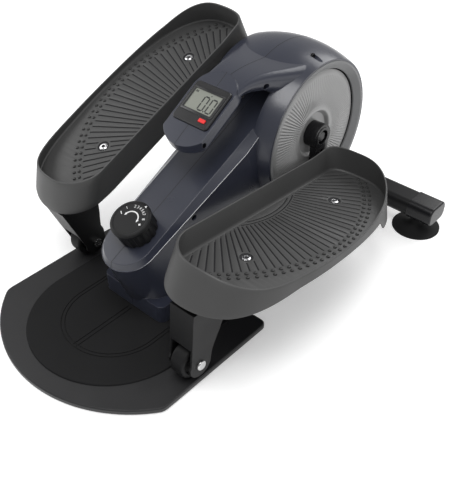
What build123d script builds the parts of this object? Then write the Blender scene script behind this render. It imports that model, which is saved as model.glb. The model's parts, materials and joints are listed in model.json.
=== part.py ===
"""Under-desk stair climber: two crank-driven trays whose heels roll on a floor plate.

Frame: +X to the user's right, +Y from the user towards the drum, +Z up, millimetres.
The origin is on the floor, under the middle of the machine.
A tray is drawn in its own frame: y runs along the tray towards the toe, z is square to its
floor, and the origin is the crank pin. It is then turned to its pitch and moved to its pin.
"""
from build123d import *
import math
import os

# ---------------------------------------------------------------- crank and rolling gear
CRANK_Y = 168.0            # crank axis, forward of the origin
CRANK_Z = 166.0            # crank axis above the floor
CRANK_THROW = 76.0         # crank axis to pedal pin
CRANK_REST = -92.0         # right crank from +Y towards +Z, degrees
PLATE_TOP = 8.0            # running surface of the floor plate
ROLLER_RADIUS = 24.5
ROLLER_WIDTH = 22.0
ROLLING_GAP = 0.3          # roller clear of the plate
ROLLER_BACK = 338.0        # roller axle behind the pin, along the tray
ROLLER_DROP = 83.5         # roller axle under the pin, square to the tray
TRAY_X = 139.0             # middle of the carrying beam, from the machine's middle

# ---------------------------------------------------------------- trays
TRAY_INNER_X = 77.0        # straight inner side of the rim
TRAY_OUTER_X = 219.5       # widest outer side, carried up to the rim's level
TRAY_TOE = 27.0            # rim ahead of the pin
TRAY_HEEL = -332.5         # rim behind the pin
HEEL_FLARE = 25.0          # skirt behind the rim at the heel
HEEL_TUCK = 0.75           # how fast the heel turns in again below its bulge
BULGE_LEVEL = 12.0         # height of that bulge above the pin
FLOOR_LEVEL = 18.7         # tray floor above the pin
FLOOR_THICK = 3.0
RIM_LEVEL = 52.5           # rim above the pin, on the inner side
RIM_DIP = 25.0             # how far the rim sweeps down to the outer side
RIM_SWEEP = 83.0           # width of that sweep
TOE_RISE = 7.0             # how far the rim climbs at the toe
TOP_LEVEL = 62.0           # over every point of the rim
SKIRT_LEVEL = 4.0          # lower edge of the inner skirt and the heel
LIP_LEVEL = 16.0           # lower edge of the outer lip
BEAM_BOTTOM = -17.0        # under side of the beam and of the deep toe skirt
TRAY_WALL = 2.6
BARREL_X = 87.5            # inner end of the barrel that takes the pedal pin
SCREW_SPACING = 189.4      # between the two tray screws
TOE_SCREW_BACK = 52.3      # toe screw behind the pin
BEAM_WIDTH = 38.0
BEAM_WALL = 3.0
LEG_BACK = 354.0           # rear face of the fork leg behind the pin

# ---------------------------------------------------------------- drum, discs and shafts
DRUM_CROWN, DRUM_EDGE = 124.0, 112.0   # drum radius in the middle and at the sides
DRUM_HALF = 67.0
SHELL_WALL = 3.0
RING_RADIUS = 109.0
DISC_RADIUS = 95.0
RING_GAP = 1.5             # disc cover to ring
AXLE_RADIUS = 8.5
HUB_RADIUS = 19.0
ARM_INNER_X = 64.0
ARM_OUTER_X = 75.0
PIN_RADIUS = 7.0
RUNNING_FIT = 0.05
FREE_GAP = 0.3

# ---------------------------------------------------------------- drive and brake
DRIVE_RADIUS = 80.0
DRIVEN_RADIUS = 16.0
BELT_X = 18.0
BELT_WIDTH = 10.0
BELT_THICK = 3.0
BELT_CLEAR = 0.5           # round the belt and its rim, to the housing
BOSS_RADIUS, BOSS_CLEAR = 6.5, 3.3                  # screw boss, and its gap below the belt
WHEEL_Y, WHEEL_Z = 5.0, 104.0
WHEEL_RADIUS = 56.0
WHEEL_X, WHEEL_WIDTH = -2.0, 14.0
WHEEL_AXLE_RADIUS = 6.0
FRAME_X = 32.0             # middle of each side plate
FRAME_PLATE = 3.0
RAIL_BOTTOM, RAIL_TOP = 27.0, 45.0
RAIL_HALF = 20.0
BEARING_RADIUS = 20.0
BEARING_WIDTH = 12.0
MAGNET_GAP = 1.5
MAGNET_THICK = 2.5

# ---------------------------------------------------------------- housing
DECK_SLOPE = 25.0          # top of the low body, degrees
DECK_Y, DECK_Z = -154.4, 113.8
DECK_HALF = 36.0
DECK_NOSE = -21.6          # tip of the deck, measured up the slope from DECK_Y
DECK_BACK = 297.0
BEAD_DROP = 8.0            # second edge line under the deck
BEAD_HALF_NOSE, BEAD_HALF_MID, BEAD_HALF_BACK = 41.0, 49.0, 40.0
BEAD_NOSE, BEAD_MID, BEAD_BACK = -27.0, 200.0, 300.0
FOOT_Z = 22.0
FOOT_HALF_NOSE, FOOT_HALF_MID, FOOT_HALF_BACK = 48.0, 58.0, 50.0
FOOT_NOSE, FOOT_MID, FOOT_BACK = -147.0, 90.0, 222.0
BLOCK_HALF, BLOCK_FRONT, BLOCK_BACK, BLOCK_TOP = 57.0, -147.0, -70.0, 37.0
FACE_SLOPE = 32.0          # console face, degrees
FACE_Y, FACE_Z = -28.4, 240.5
POD_HALF, POD_DEPTH = 34.0, 19.0
POD_LOW, POD_STRAIGHT_LOW, POD_STRAIGHT_HIGH, POD_HIGH = -31.0, -14.0, 54.0, 86.0
NECK_TOP = 282.0
SCOOP_HALF = 38.0
SCOOP_END = 112.0

# ---------------------------------------------------------------- meter and knob
METER_SIZE = 60.0
METER_MIDDLE = 31.0        # up the console face
METER_PROUD = 3.0
METER_SINK = 6.0
LCD_WIDTH, LCD_HEIGHT, LCD_MIDDLE = 46.0, 30.6, 34.7
BUTTON_WIDTH, BUTTON_HEIGHT = 10.5, 5.0
BUTTON_X, BUTTON_MIDDLE = 16.8, 10.6
BUTTON_TRAVEL = 1.0
KNOB_RADIUS, KNOB_HEIGHT = 28.0, 27.0
KNOB_UP = 32.0             # knob axis up the deck from DECK_Y
SPINDLE_RADIUS = 4.0

# ---------------------------------------------------------------- floor plate
PLATE_HALF = 157.0
PLATE_TIP = -321.0
PLATE_CORNER = -241.0
PLATE_EAR = -48.0
PLATE_FRONT = -66.0
PLATE_BOTTOM = 1.5
PLATE_SCREWS = [(-24.0, -100.0), (24.0, -100.0)]
MAT_RADIUS = 118.0
MAT_CENTRE = -178.0
MAT_THICK = 2.0
OVAL_RADIUS = 73.0
GROOVE = 1.4

# ---------------------------------------------------------------- front stabiliser
TUBE_Y, TUBE_Z = 283.7, 38.0
TUBE_DEPTH, TUBE_HEIGHT, TUBE_WALL = 44.0, 27.5, 2.0
TUBE_HALF = 214.0
CAP_COVER, CAP_NOSE, CAP_WALL = 33.0, 8.5, 1.5      # over the tube, past its end, wall
FOOT_IN, CUP_RADIUS = 23.3, 37.3                    # foot from the tube's end
BOLT_X, BOLT_RADIUS = 37.0, 4.0
SADDLE_THICK, SADDLE_HALF = 3.5, 62.0


def save(piece, name):
    """Label a finished piece and write it as one node."""
    piece.label = name
    export_step(piece, "parts/" + name + ".step")


def pitch_of(pin_height):
    """Pitch of a tray whose roller rests over the plate, for a pin at this height."""
    reach = math.hypot(ROLLER_BACK, ROLLER_DROP)
    lift = pin_height - (PLATE_TOP + ROLLER_RADIUS + ROLLING_GAP)
    return math.degrees(math.asin(lift / reach) - math.atan2(ROLLER_DROP, ROLLER_BACK))


os.makedirs("parts", exist_ok=True)
crank_lean = math.radians(CRANK_REST)
pin_dy = CRANK_THROW * math.cos(crank_lean)
pin_dz = CRANK_THROW * math.sin(crank_lean)
tray_place = {
    "right": Location((0, CRANK_Y + pin_dy, CRANK_Z + pin_dz), (pitch_of(CRANK_Z + pin_dz), 0, 0)),
    "left": Location((0, CRANK_Y - pin_dy, CRANK_Z - pin_dz), (pitch_of(CRANK_Z - pin_dz), 0, 0)),
}


def on_tray(shape, side):
    """The right-hand shape in the tray's frame, put where this side's tray stands."""
    if side == "left":
        shape = mirror(shape, about=Plane.YZ)
    return shape.moved(tray_place[side])


def across(x):
    """Plane square to X whose own x and y are the machine's +Y and +Z."""
    return Plane(origin=(x, 0, 0), x_dir=(0, 1, 0), z_dir=(1, 0, 0))


# ================================================================= trays
def tray_outline(level, inset):
    """Face bounded by the tray's side walls at a level; the walls flare on their way down."""
    down = (RIM_LEVEL - level) / (RIM_LEVEL - SKIRT_LEVEL)
    tuck = HEEL_TUCK * max(0.0, BULGE_LEVEL - level)
    inner = TRAY_INNER_X + 6.0 * down + inset
    outer = TRAY_OUTER_X + 6.5 * down - inset
    toe = TRAY_TOE + 8.0 * down - inset
    heel = TRAY_HEEL - HEEL_FLARE * down + tuck + inset
    width = outer - inner
    tip, back = (inner + 0.36 * width, toe), (inner + 0.38 * width, heel)
    with BuildSketch(Plane.XY.offset(level)) as outline:
        with BuildLine():
            inner_side = Line((inner, heel + 48), (inner, toe - 24))
            Bezier(inner_side @ 1, (inner, toe - 4), (inner + 0.12 * width, toe), tip)
            widest = (outer, heel + 183)
            Bezier(tip, (inner + 0.88 * width, toe), (outer, toe - 88), widest)
            corner = (inner + 0.96 * width, heel + 93)
            Bezier(widest, (outer, heel + 153), (inner + 0.984 * width, heel + 128), corner)
            Bezier(corner, (inner + 0.905 * width, heel + 21), (inner + 0.67 * width, heel), back)
            Bezier(back, (inner + 0.19 * width, heel), (inner, heel + 21), inner_side @ 0)
        make_face()
    return outline.sketch


def tray_loft(low, high, inset):
    """The space between the tray walls from one level to another."""
    levels = [low, high]
    if low < BULGE_LEVEL < high:
        levels.insert(1, BULGE_LEVEL)
    with BuildPart() as space:
        loft([tray_outline(level, inset) for level in levels], ruled=True)
    return space.part


def above_rim(along, rise):
    """Face over the rim line: level on the inner side, swept down to the outer one."""
    with BuildSketch(Plane.XZ.offset(-along)) as over:
        with BuildLine():
            flat = Line((0, RIM_LEVEL + rise), (TRAY_X, RIM_LEVEL + rise))
            end = (TRAY_X + 1.4 * RIM_SWEEP, RIM_LEVEL + rise - 1.96 * RIM_DIP)
            sweep = Bezier(flat @ 1, (TRAY_X + 0.7 * RIM_SWEEP, RIM_LEVEL + rise), end)
            Polyline(sweep @ 1, (TRAY_X + 1.4 * RIM_SWEEP, 120), (0, 120), flat @ 0)
        make_face()
    return over.sketch


with BuildPart() as tray:
    add(tray_loft(BEAM_BOTTOM, TOP_LEVEL, 0))
    floor_under = FLOOR_LEVEL - FLOOR_THICK
    add(tray_loft(FLOOR_LEVEL, TOP_LEVEL, TRAY_WALL), mode=Mode.SUBTRACT)
    add(tray_loft(BEAM_BOTTOM, floor_under, TRAY_WALL), mode=Mode.SUBTRACT)
    # the rim sweeps down to the outer side, where the foot steps on, and climbs to the toe
    toe_start, toe_end = TRAY_TOE - 52, TRAY_TOE + 8
    extrude(above_rim(toe_start, 0), amount=500, dir=(0, -1, 0), mode=Mode.SUBTRACT)
    loft([above_rim(toe_start, 0), above_rim(toe_end, TOE_RISE)], ruled=True, mode=Mode.SUBTRACT)
    # under edge: deep at the toe, shallow under the outer lip, in between at the heel
    with BuildSketch(across(0)):
        with BuildLine():
            Polyline(
                (TRAY_HEEL - 60, BEAM_BOTTOM - 5),
                (TRAY_HEEL - 60, SKIRT_LEVEL),
                (-48, SKIRT_LEVEL),
                (-36, BEAM_BOTTOM),
                (-36, BEAM_BOTTOM - 5),
                close=True,
            )
        make_face()
    extrude(amount=TRAY_OUTER_X + 20, mode=Mode.SUBTRACT)
    with BuildSketch(across(TRAY_X + BEAM_WIDTH / 2 + 4)):
        with BuildLine():
            Polyline(
                (-292, BEAM_BOTTOM - 5),
                (-292, SKIRT_LEVEL),
                (-250, LIP_LEVEL),
                (-44, LIP_LEVEL),
                (-32, LIP_LEVEL - 8),
                (-32, BEAM_BOTTOM - 5),
                close=True,
            )
        make_face()
    extrude(amount=TRAY_OUTER_X, mode=Mode.SUBTRACT)
    # way in for the pedal pin, through the inner skirt
    with BuildSketch(across(0)):
        Circle(PIN_RADIUS + 6)
    extrude(amount=TRAY_INNER_X + 12, mode=Mode.SUBTRACT)
    # screw wells: a cup hangs from the floor, with a hole for the screw
    screw_places = [(TRAY_X, -TOE_SCREW_BACK), (TRAY_X, -TOE_SCREW_BACK - SCREW_SPACING)]
    with BuildSketch(Plane.XY.offset(FLOOR_LEVEL)):
        with Locations(*screw_places):
            Circle(7)
    extrude(amount=-2.2, mode=Mode.SUBTRACT)
    with BuildSketch(Plane.XY.offset(FLOOR_LEVEL)):
        with Locations(*screw_places):
            Circle(3.2)
    extrude(amount=-8, mode=Mode.SUBTRACT)
    # stiffening webs that run from the beam out to the lip
    with BuildSketch(Plane.XY.offset(floor_under)):
        web_span = TRAY_OUTER_X - TRAY_WALL - 8 - (TRAY_X + BEAM_WIDTH / 2 + 1)
        with GridLocations(0, 34, 1, 6):
            with Locations((TRAY_X + BEAM_WIDTH / 2 + 1 + web_span / 2, -155)):
                Rectangle(web_span, 2)
    extrude(amount=-6)

with BuildPart() as beam:
    beam_in = TRAY_X - BEAM_WIDTH / 2
    beam_top = FLOOR_LEVEL - FLOOR_THICK
    axle_at = (-ROLLER_BACK, -ROLLER_DROP)
    # side view of the beam and the leg that drops to the roller
    with BuildSketch(across(beam_in)):
        with BuildLine():
            Polyline(
                (-LEG_BACK, -ROLLER_DROP + 6), (-LEG_BACK, SKIRT_LEVEL - 1),
                (TRAY_HEEL - 9, SKIRT_LEVEL - 1), (TRAY_HEEL - 9, beam_top), (14, beam_top),
            )
            Polyline((14, beam_top), (14, BEAM_BOTTOM + 4), (6, BEAM_BOTTOM + 1), (-286, BEAM_BOTTOM + 1))
            front = Spline(
                (-286, BEAM_BOTTOM + 1),
                (-306, -42),
                (-ROLLER_BACK + 18, -ROLLER_DROP),
                tangents=[(-1, -0.25), (0, -1)],
            )
            toe = ThreePointArc(
                front @ 1,
                (-ROLLER_BACK, -ROLLER_DROP - 18),
                (-ROLLER_BACK - 18, -ROLLER_DROP),
            )
            Line(toe @ 1, (-LEG_BACK, -ROLLER_DROP + 6))
        make_face()
    extrude(amount=BEAM_WIDTH)
    # hollow: open below, with a rear web down to the roller
    with BuildSketch(across(beam_in + BEAM_WALL)):
        with BuildLine():
            Polyline(
                (-LEG_BACK + 4, -52),
                (-LEG_BACK + 4, SKIRT_LEVEL - 1 - BEAM_WALL),
                (TRAY_HEEL - 9 + BEAM_WALL, SKIRT_LEVEL - 1 - BEAM_WALL),
                (TRAY_HEEL - 9 + BEAM_WALL, beam_top - BEAM_WALL),
                (-16, beam_top - BEAM_WALL),
                (-16, BEAM_BOTTOM - 10),
                (-290, BEAM_BOTTOM - 10),
                (-290, -130),
                (-LEG_BACK - 40, -130),
                (-LEG_BACK - 40, -52),
                close=True,
            )
        make_face()
    extrude(amount=BEAM_WIDTH - 2 * BEAM_WALL, mode=Mode.SUBTRACT)
    # pedal pin barrel across the toe end
    with BuildSketch(across(BARREL_X)):
        Circle(PIN_RADIUS + 6)
    extrude(until=Until.NEXT)
    with BuildSketch(across(TRAY_INNER_X)):
        Circle(PIN_RADIUS + 3)
    extrude(amount=BEAM_WIDTH + 60, mode=Mode.SUBTRACT)
    # roller axle holes, tray screw holes
    with BuildSketch(across(beam_in - 1)):
        with Locations(axle_at):
            Circle(4.0)
    extrude(amount=BEAM_WIDTH + 2, mode=Mode.SUBTRACT)
    with BuildSketch(Plane.XY.offset(beam_top)):
        with Locations(*screw_places):
            Circle(3.2)
    extrude(amount=-BEAM_WALL, mode=Mode.SUBTRACT)

with BuildPart() as tray_screws:
    # countersunk hex screws through the floor, with nuts under the beam's top wall
    for place in screw_places:
        with BuildSketch(Plane.XY.offset(FLOOR_LEVEL - 2.2)):
            with Locations(place):
                Circle(6)
                RegularPolygon(3, 6, mode=Mode.SUBTRACT)
        extrude(amount=2.6)
        with BuildSketch(Plane.XY.offset(FLOOR_LEVEL - 2.2)):
            with Locations(place):
                Circle(3.1)
        extrude(amount=-14)
        with BuildSketch(Plane.XY.offset(beam_top - BEAM_WALL)):
            with Locations(place):
                RegularPolygon(6, 6)
        extrude(amount=-5)

with BuildPart() as pin_bush:
    # flanged bush between the pedal pin and its barrel
    with BuildSketch(across(BARREL_X)):
        Circle(PIN_RADIUS + 3)
        Circle(PIN_RADIUS + RUNNING_FIT, mode=Mode.SUBTRACT)
    extrude(amount=TRAY_X + BEAM_WIDTH / 2 - BARREL_X)

with BuildPart() as roller_axle:
    # shoulder bolt through the fork, button head outside, nut inside
    with BuildSketch(across(beam_in - 5)):
        with Locations(axle_at):
            Circle(3.95)
    extrude(amount=BEAM_WIDTH + 5)
    with BuildSketch(across(beam_in + BEAM_WIDTH)):
        with Locations(axle_at):
            Circle(7)
    extrude(amount=3.2)
    fillet(roller_axle.edges().filter_by(GeomType.CIRCLE).sort_by(Axis.X)[-1], 2.2)
    with BuildSketch(across(beam_in)):
        with Locations(axle_at):
            RegularPolygon(7, 6)
    extrude(amount=-5)
    with BuildSketch(across(beam_in + BEAM_WALL)):
        with Locations(axle_at):
            Circle(8)
    extrude(amount=1.5)
    with BuildSketch(across(beam_in + BEAM_WIDTH - BEAM_WALL)):
        with Locations(axle_at):
            Circle(8)
    extrude(amount=-1.5)

with BuildPart() as roller:
    # tyre with rounded shoulders, deep side recesses and a plain bore
    hub_half = BEAM_WIDTH / 2 - BEAM_WALL - 1.5 - FREE_GAP
    half = ROLLER_WIDTH / 2
    with BuildSketch(Plane.XY):
        with BuildLine():
            Polyline(
                (-hub_half, 4.0), (-hub_half, 8), (-half + 4, 9), (-half + 4, 17), (-half, 18.5),
            )
            Line((-half, 18.5), (-half, ROLLER_RADIUS - 3.5))
            ThreePointArc(
                (-half, ROLLER_RADIUS - 3.5),
                (-half + 1.2, ROLLER_RADIUS - 1.0),
                (-half + 4, ROLLER_RADIUS),
            )
            Line((-half + 4, ROLLER_RADIUS), (half - 4, ROLLER_RADIUS))
            ThreePointArc(
                (half - 4, ROLLER_RADIUS),
                (half - 1.2, ROLLER_RADIUS - 1.0),
                (half, ROLLER_RADIUS - 3.5),
            )
            Polyline(
                (half, ROLLER_RADIUS - 3.5), (half, 18.5), (half - 4, 17), (half - 4, 9),
                (hub_half, 8), (hub_half, 4.0), (-hub_half, 4.0),
            )
        make_face()
    revolve(axis=Axis.X)

roller_home = Location((TRAY_X, -ROLLER_BACK, -ROLLER_DROP))
for side in ("right", "left"):
    save(on_tray(tray.part, side), "tray_" + side)
    save(on_tray(beam.part, side), "beam_" + side)
    save(on_tray(tray_screws.part, side), "tray_screws_" + side)
    save(on_tray(pin_bush.part, side), "pin_bush_" + side)
    save(on_tray(roller_axle.part, side), "roller_axle_" + side)
    save(on_tray(roller.part.moved(roller_home), side), "roller_" + side)

# ================================================================= cranks
with BuildPart() as crank_arm:
    # right crank, pointing along +Y from its hub; turned to rest below
    with BuildSketch(across(ARM_INNER_X)):
        Circle(15)
        with Locations((CRANK_THROW, 0)):
            Circle(13)
        make_hull()
    extrude(amount=ARM_OUTER_X - ARM_INNER_X)
    with BuildSketch(across(54)):
        Circle(HUB_RADIUS)
    extrude(amount=ARM_OUTER_X - 1 - 54)
    fillet(crank_arm.edges().filter_by(GeomType.CIRCLE).group_by(Axis.X)[-1], 0.8)
    # the pocket that leaves an I section, outside and inside
    for face_x, away in ((ARM_OUTER_X, -1), (ARM_INNER_X, 1)):
        with BuildSketch(across(face_x)):
            with Locations((CRANK_THROW / 2 + 3, 0)):
                SlotOverall(CRANK_THROW - 34, 17)
        extrude(amount=3.2 * away, mode=Mode.SUBTRACT)
    with BuildSketch(across(ARM_OUTER_X)):
        Circle(11)
    extrude(amount=-7, mode=Mode.SUBTRACT)
    with BuildSketch(across(50)):
        Circle(AXLE_RADIUS)
    extrude(amount=ARM_OUTER_X - 9 - 50, mode=Mode.SUBTRACT)
    with BuildSketch(across(50)):
        Circle(4.2)
    extrude(amount=40, mode=Mode.SUBTRACT)
    with BuildSketch(across(50)):
        with Locations((CRANK_THROW, 0)):
            Circle(PIN_RADIUS)
    extrude(amount=40, mode=Mode.SUBTRACT)

with BuildPart() as crank_bolt:
    with BuildSketch(across(ARM_OUTER_X - 7)):
        RegularPolygon(8, 6)
    extrude(amount=5)
    with BuildSketch(across(ARM_OUTER_X - 7)):
        Circle(4.1)
    extrude(amount=-20)

with BuildPart() as pedal_pin:
    # screwed into the crank, collar outside it, journal in the bush
    with BuildSketch(across(ARM_INNER_X + 0.5)):
        with Locations((CRANK_THROW, 0)):
            Circle(PIN_RADIUS)
    extrude(amount=TRAY_X + BEAM_WIDTH / 2 - 2 - ARM_INNER_X)
    with BuildSketch(across(ARM_OUTER_X)):
        with Locations((CRANK_THROW, 0)):
            RegularPolygon(9.5, 6)
    extrude(amount=BARREL_X - FREE_GAP - ARM_OUTER_X)


def on_crank(shape, side):
    """The right-hand shape, turned to its crank; the left one stands half a turn away."""
    turn = CRANK_REST
    if side == "left":
        shape = mirror(shape, about=Plane.YZ)
        turn = CRANK_REST + 180
    return shape.moved(Location((0, CRANK_Y, CRANK_Z), (turn, 0, 0)))


with BuildPart() as disc_cover:
    # dished disc: a clamped centre, a recessed ring round the hub, a shallow crown
    with BuildSketch(Plane.XY):
        with BuildLine():
            Polyline(
                (51.5, AXLE_RADIUS), (51.5, 33), (57, 37), (58.6, 60), (56.5, DISC_RADIUS),
                (59.2, DISC_RADIUS), (61.4, 60), (59.8, 36), (57.5, 33.5), (54, 30),
                (54, AXLE_RADIUS),
                close=True,
            )
        make_face()
    revolve(axis=Axis.X)

with BuildPart() as disc_ring:
    # fixed ring: a sloping face between the disc and the housing, on a spigot
    ring_in = DISC_RADIUS + RING_GAP
    with BuildSketch(Plane.XY):
        with BuildLine():
            Polyline(
                (60.6, ring_in), (DRUM_HALF + 0.4, RING_RADIUS - 3), (DRUM_HALF + 0.4, RING_RADIUS),
                (63, RING_RADIUS), (63, RING_RADIUS - 5), (58, ring_in),
                close=True,
            )
        make_face()
    revolve(axis=Axis.X)

with BuildPart() as crank_axle:
    with BuildSketch(across(-(ARM_OUTER_X - 9.5))):
        Circle(AXLE_RADIUS)
    extrude(amount=2 * (ARM_OUTER_X - 9.5))
    # shoulders that clamp the disc covers against the crank hubs
    for side_sign in (-1, 1):
        with BuildSketch(across(side_sign * 51.5)):
            Circle(AXLE_RADIUS + 4)
        extrude(amount=-side_sign * 6)
    for side_sign in (-1, 1):
        with BuildSketch(across(side_sign * (ARM_OUTER_X - 9.5))):
            Circle(4.15)
        extrude(amount=-side_sign * 22, mode=Mode.SUBTRACT)

with BuildPart() as drive_pulley:
    # spoked pulley with a flanged rim for the belt
    rim_half = BELT_WIDTH / 2 + 2
    with BuildSketch(Plane.XY):
        with BuildLine():
            Polyline(
                (BELT_X - rim_half, DRIVE_RADIUS - 9), (BELT_X - rim_half, DRIVE_RADIUS + 3),
                (BELT_X - rim_half + 1.5, DRIVE_RADIUS + 3), (BELT_X - rim_half + 1.5, DRIVE_RADIUS),
                (BELT_X + rim_half - 1.5, DRIVE_RADIUS), (BELT_X + rim_half - 1.5, DRIVE_RADIUS + 3),
                (BELT_X + rim_half, DRIVE_RADIUS + 3), (BELT_X + rim_half, DRIVE_RADIUS - 9),
                close=True,
            )
        make_face()
    revolve(axis=Axis.X)
    with BuildSketch(across(BELT_X - 2.5)):
        Circle(DRIVE_RADIUS - 8)
        Circle(AXLE_RADIUS, mode=Mode.SUBTRACT)
        with PolarLocations(48, 6):
            Circle(17, mode=Mode.SUBTRACT)
    extrude(amount=5)
    with BuildSketch(across(BELT_X - rim_half)):
        Circle(22)
        Circle(AXLE_RADIUS, mode=Mode.SUBTRACT)
    extrude(amount=2 * rim_half)

crank_home = Location((0, CRANK_Y, CRANK_Z))
for side in ("right", "left"):
    save(on_crank(crank_arm.part, side), "crank_arm_" + side)
    save(on_crank(crank_bolt.part, side), "crank_bolt_" + side)
    save(on_crank(pedal_pin.part, side), "pedal_pin_" + side)
    save(on_crank(disc_cover.part, side), "disc_cover_" + side)
    save(on_crank(disc_ring.part, side), "disc_ring_" + side)
save(crank_axle.part.moved(crank_home), "crank_axle")
save(drive_pulley.part.moved(crank_home), "drive_pulley")

# ================================================================= frame, flywheel and brake
knob_dir = (0, -math.sin(math.radians(DECK_SLOPE)), math.cos(math.radians(DECK_SLOPE)))
knob_y = DECK_Y + KNOB_UP * math.cos(math.radians(DECK_SLOPE))
knob_z = DECK_Z + KNOB_UP * math.sin(math.radians(DECK_SLOPE))
NUT_DEPTH = 47.0           # brake nut down the spindle from the deck
nut_y = knob_y - NUT_DEPTH * knob_dir[1]
nut_z = knob_z - NUT_DEPTH * knob_dir[2]
ARM_LENGTH = 38.0          # brake pivot to nut, square to the spindle
pivot_y = nut_y + ARM_LENGTH * knob_dir[2]
pivot_z = nut_z - ARM_LENGTH * knob_dir[1]
SHOE_RADIUS = 62.0         # shoe centre from the flywheel axis
SHOE_ANGLE = math.radians(215)
shoe_y = WHEEL_Y + SHOE_RADIUS * math.cos(SHOE_ANGLE)
shoe_z = WHEEL_Z + SHOE_RADIUS * math.sin(SHOE_ANGLE)
MAGNET_RADIUS = 9.0
tie_y = WHEEL_Y + (SHOE_RADIUS + MAGNET_RADIUS + 3.5) * math.cos(SHOE_ANGLE)
tie_z = WHEEL_Z + (SHOE_RADIUS + MAGNET_RADIUS + 3.5) * math.sin(SHOE_ANGLE)

with BuildPart() as main_frame:
    rail_back, rail_front = -128.0, TUBE_Y - TUBE_DEPTH / 2 - 2
    with BuildSketch(Plane.XZ.offset(-rail_back)):
        with Locations((0, (RAIL_BOTTOM + RAIL_TOP) / 2)):
            RectangleRounded(2 * RAIL_HALF, RAIL_TOP - RAIL_BOTTOM, 3)
            Rectangle(2 * RAIL_HALF - 4, RAIL_TOP - RAIL_BOTTOM - 4, mode=Mode.SUBTRACT)
    extrude(amount=-(rail_front - rail_back))
    for plate_x in (-FRAME_X, FRAME_X):
        with BuildSketch(across(plate_x - FRAME_PLATE / 2)):
            with Locations((CRANK_Y, CRANK_Z)):
                Circle(30)
            with Locations((WHEEL_Y, WHEEL_Z)):
                Circle(16)
            with Locations((pivot_y, pivot_z)):
                Circle(9)
            with Locations(((pivot_y + 195) / 2, RAIL_BOTTOM + 4)):
                Rectangle(195 - pivot_y, 8)
            make_hull()
            with Locations((110, 100), (75, 78), (150, 78)):
                Circle(14, mode=Mode.SUBTRACT)
            with Locations((CRANK_Y, CRANK_Z)):
                Circle(BEARING_RADIUS, mode=Mode.SUBTRACT)
            with Locations((WHEEL_Y, WHEEL_Z)):
                Circle(WHEEL_AXLE_RADIUS, mode=Mode.SUBTRACT)
            with Locations((pivot_y, pivot_z)):
                Circle(4, mode=Mode.SUBTRACT)
        extrude(amount=FRAME_PLATE)
        with BuildSketch(across(plate_x - BEARING_WIDTH / 2)):
            with Locations((CRANK_Y, CRANK_Z)):
                Circle(BEARING_RADIUS + 4)
                Circle(BEARING_RADIUS, mode=Mode.SUBTRACT)
        extrude(amount=BEARING_WIDTH)
    # webs that tie the side plates to the rail
    with BuildSketch(Plane.XY.offset(RAIL_BOTTOM)):
        with Locations((0, -60), (0, 60), (0, 180)):
            Rectangle(2 * FRAME_X, 16)
    extrude(amount=3)
    # saddle that lies on the front tube, and the gusset that carries it
    saddle_low = TUBE_Z + TUBE_HEIGHT / 2
    with BuildSketch(Plane.XY.offset(saddle_low)):
        with Locations((0, TUBE_Y - 4)):
            RectangleRounded(2 * SADDLE_HALF, TUBE_DEPTH - 6, 10)
        with Locations((0, TUBE_Y - TUBE_DEPTH / 2 - 12)):
            Rectangle(64, 40)
        with Locations((-BOLT_X, TUBE_Y), (BOLT_X, TUBE_Y)):
            Circle(BOLT_RADIUS + 0.2, mode=Mode.SUBTRACT)
    extrude(amount=SADDLE_THICK)
    with BuildSketch(Plane.XY.offset(RAIL_TOP - 1)):
        with Locations((0, TUBE_Y - TUBE_DEPTH / 2 - 22)):
            Rectangle(36, 40)
    extrude(amount=saddle_low - RAIL_TOP + 1.5)
    # feet for the floor plate, under the rail
    with BuildSketch(Plane.XY.offset(PLATE_TOP + MAT_THICK)):
        with Locations((0, -115), (0, -85)):
            Rectangle(70, 14)
        with Locations(*PLATE_SCREWS):
            Circle(10)
    extrude(amount=RAIL_BOTTOM + 1 - PLATE_TOP - MAT_THICK)
    with BuildSketch(Plane.XY):
        with Locations(*PLATE_SCREWS):
            Circle(3)
    extrude(amount=24, mode=Mode.SUBTRACT)
save(main_frame.part, "main_frame")

for side, side_sign in (("right", 1), ("left", -1)):
    with BuildPart() as bearing:
        with BuildSketch(across(side_sign * FRAME_X - BEARING_WIDTH / 2)):
            with Locations((CRANK_Y, CRANK_Z)):
                Circle(BEARING_RADIUS)
                Circle(AXLE_RADIUS + RUNNING_FIT, mode=Mode.SUBTRACT)
        extrude(amount=BEARING_WIDTH)
        with BuildSketch(across(side_sign * (FRAME_X + BEARING_WIDTH / 2))):
            with Locations((CRANK_Y, CRANK_Z)):
                Circle(16.5)
                Circle(12.5, mode=Mode.SUBTRACT)
        extrude(amount=-side_sign * 0.6, mode=Mode.SUBTRACT)
    save(bearing.part, "crank_bearing_" + side)

with BuildPart() as wheel_axle:
    with BuildSketch(across(-FRAME_X - 9)):
        with Locations((WHEEL_Y, WHEEL_Z)):
            Circle(WHEEL_AXLE_RADIUS)
    extrude(amount=2 * (FRAME_X + 9))
    for side_sign in (-1, 1):
        with BuildSketch(across(side_sign * (FRAME_X + FRAME_PLATE / 2))):
            with Locations((WHEEL_Y, WHEEL_Z)):
                RegularPolygon(10, 6)
        extrude(amount=side_sign * 6)
save(wheel_axle.part, "flywheel_axle")

with BuildPart() as flywheel:
    with BuildSketch(Plane.XY):
        low, high = WHEEL_X - WHEEL_WIDTH / 2, WHEEL_X + WHEEL_WIDTH / 2
        with BuildLine():
            Polyline(
                (low - 5, WHEEL_AXLE_RADIUS + 4), (low - 5, 15), (WHEEL_X - 3, 17),
                (WHEEL_X - 3, WHEEL_RADIUS - 14), (low, WHEEL_RADIUS - 12), (low, WHEEL_RADIUS),
                (high, WHEEL_RADIUS), (high, WHEEL_RADIUS - 12), (WHEEL_X + 3, WHEEL_RADIUS - 14),
                (WHEEL_X + 3, 17), (high + 4, 15), (high + 4, WHEEL_AXLE_RADIUS + 4),
                close=True,
            )
        make_face()
    revolve(axis=Axis.X)

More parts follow.
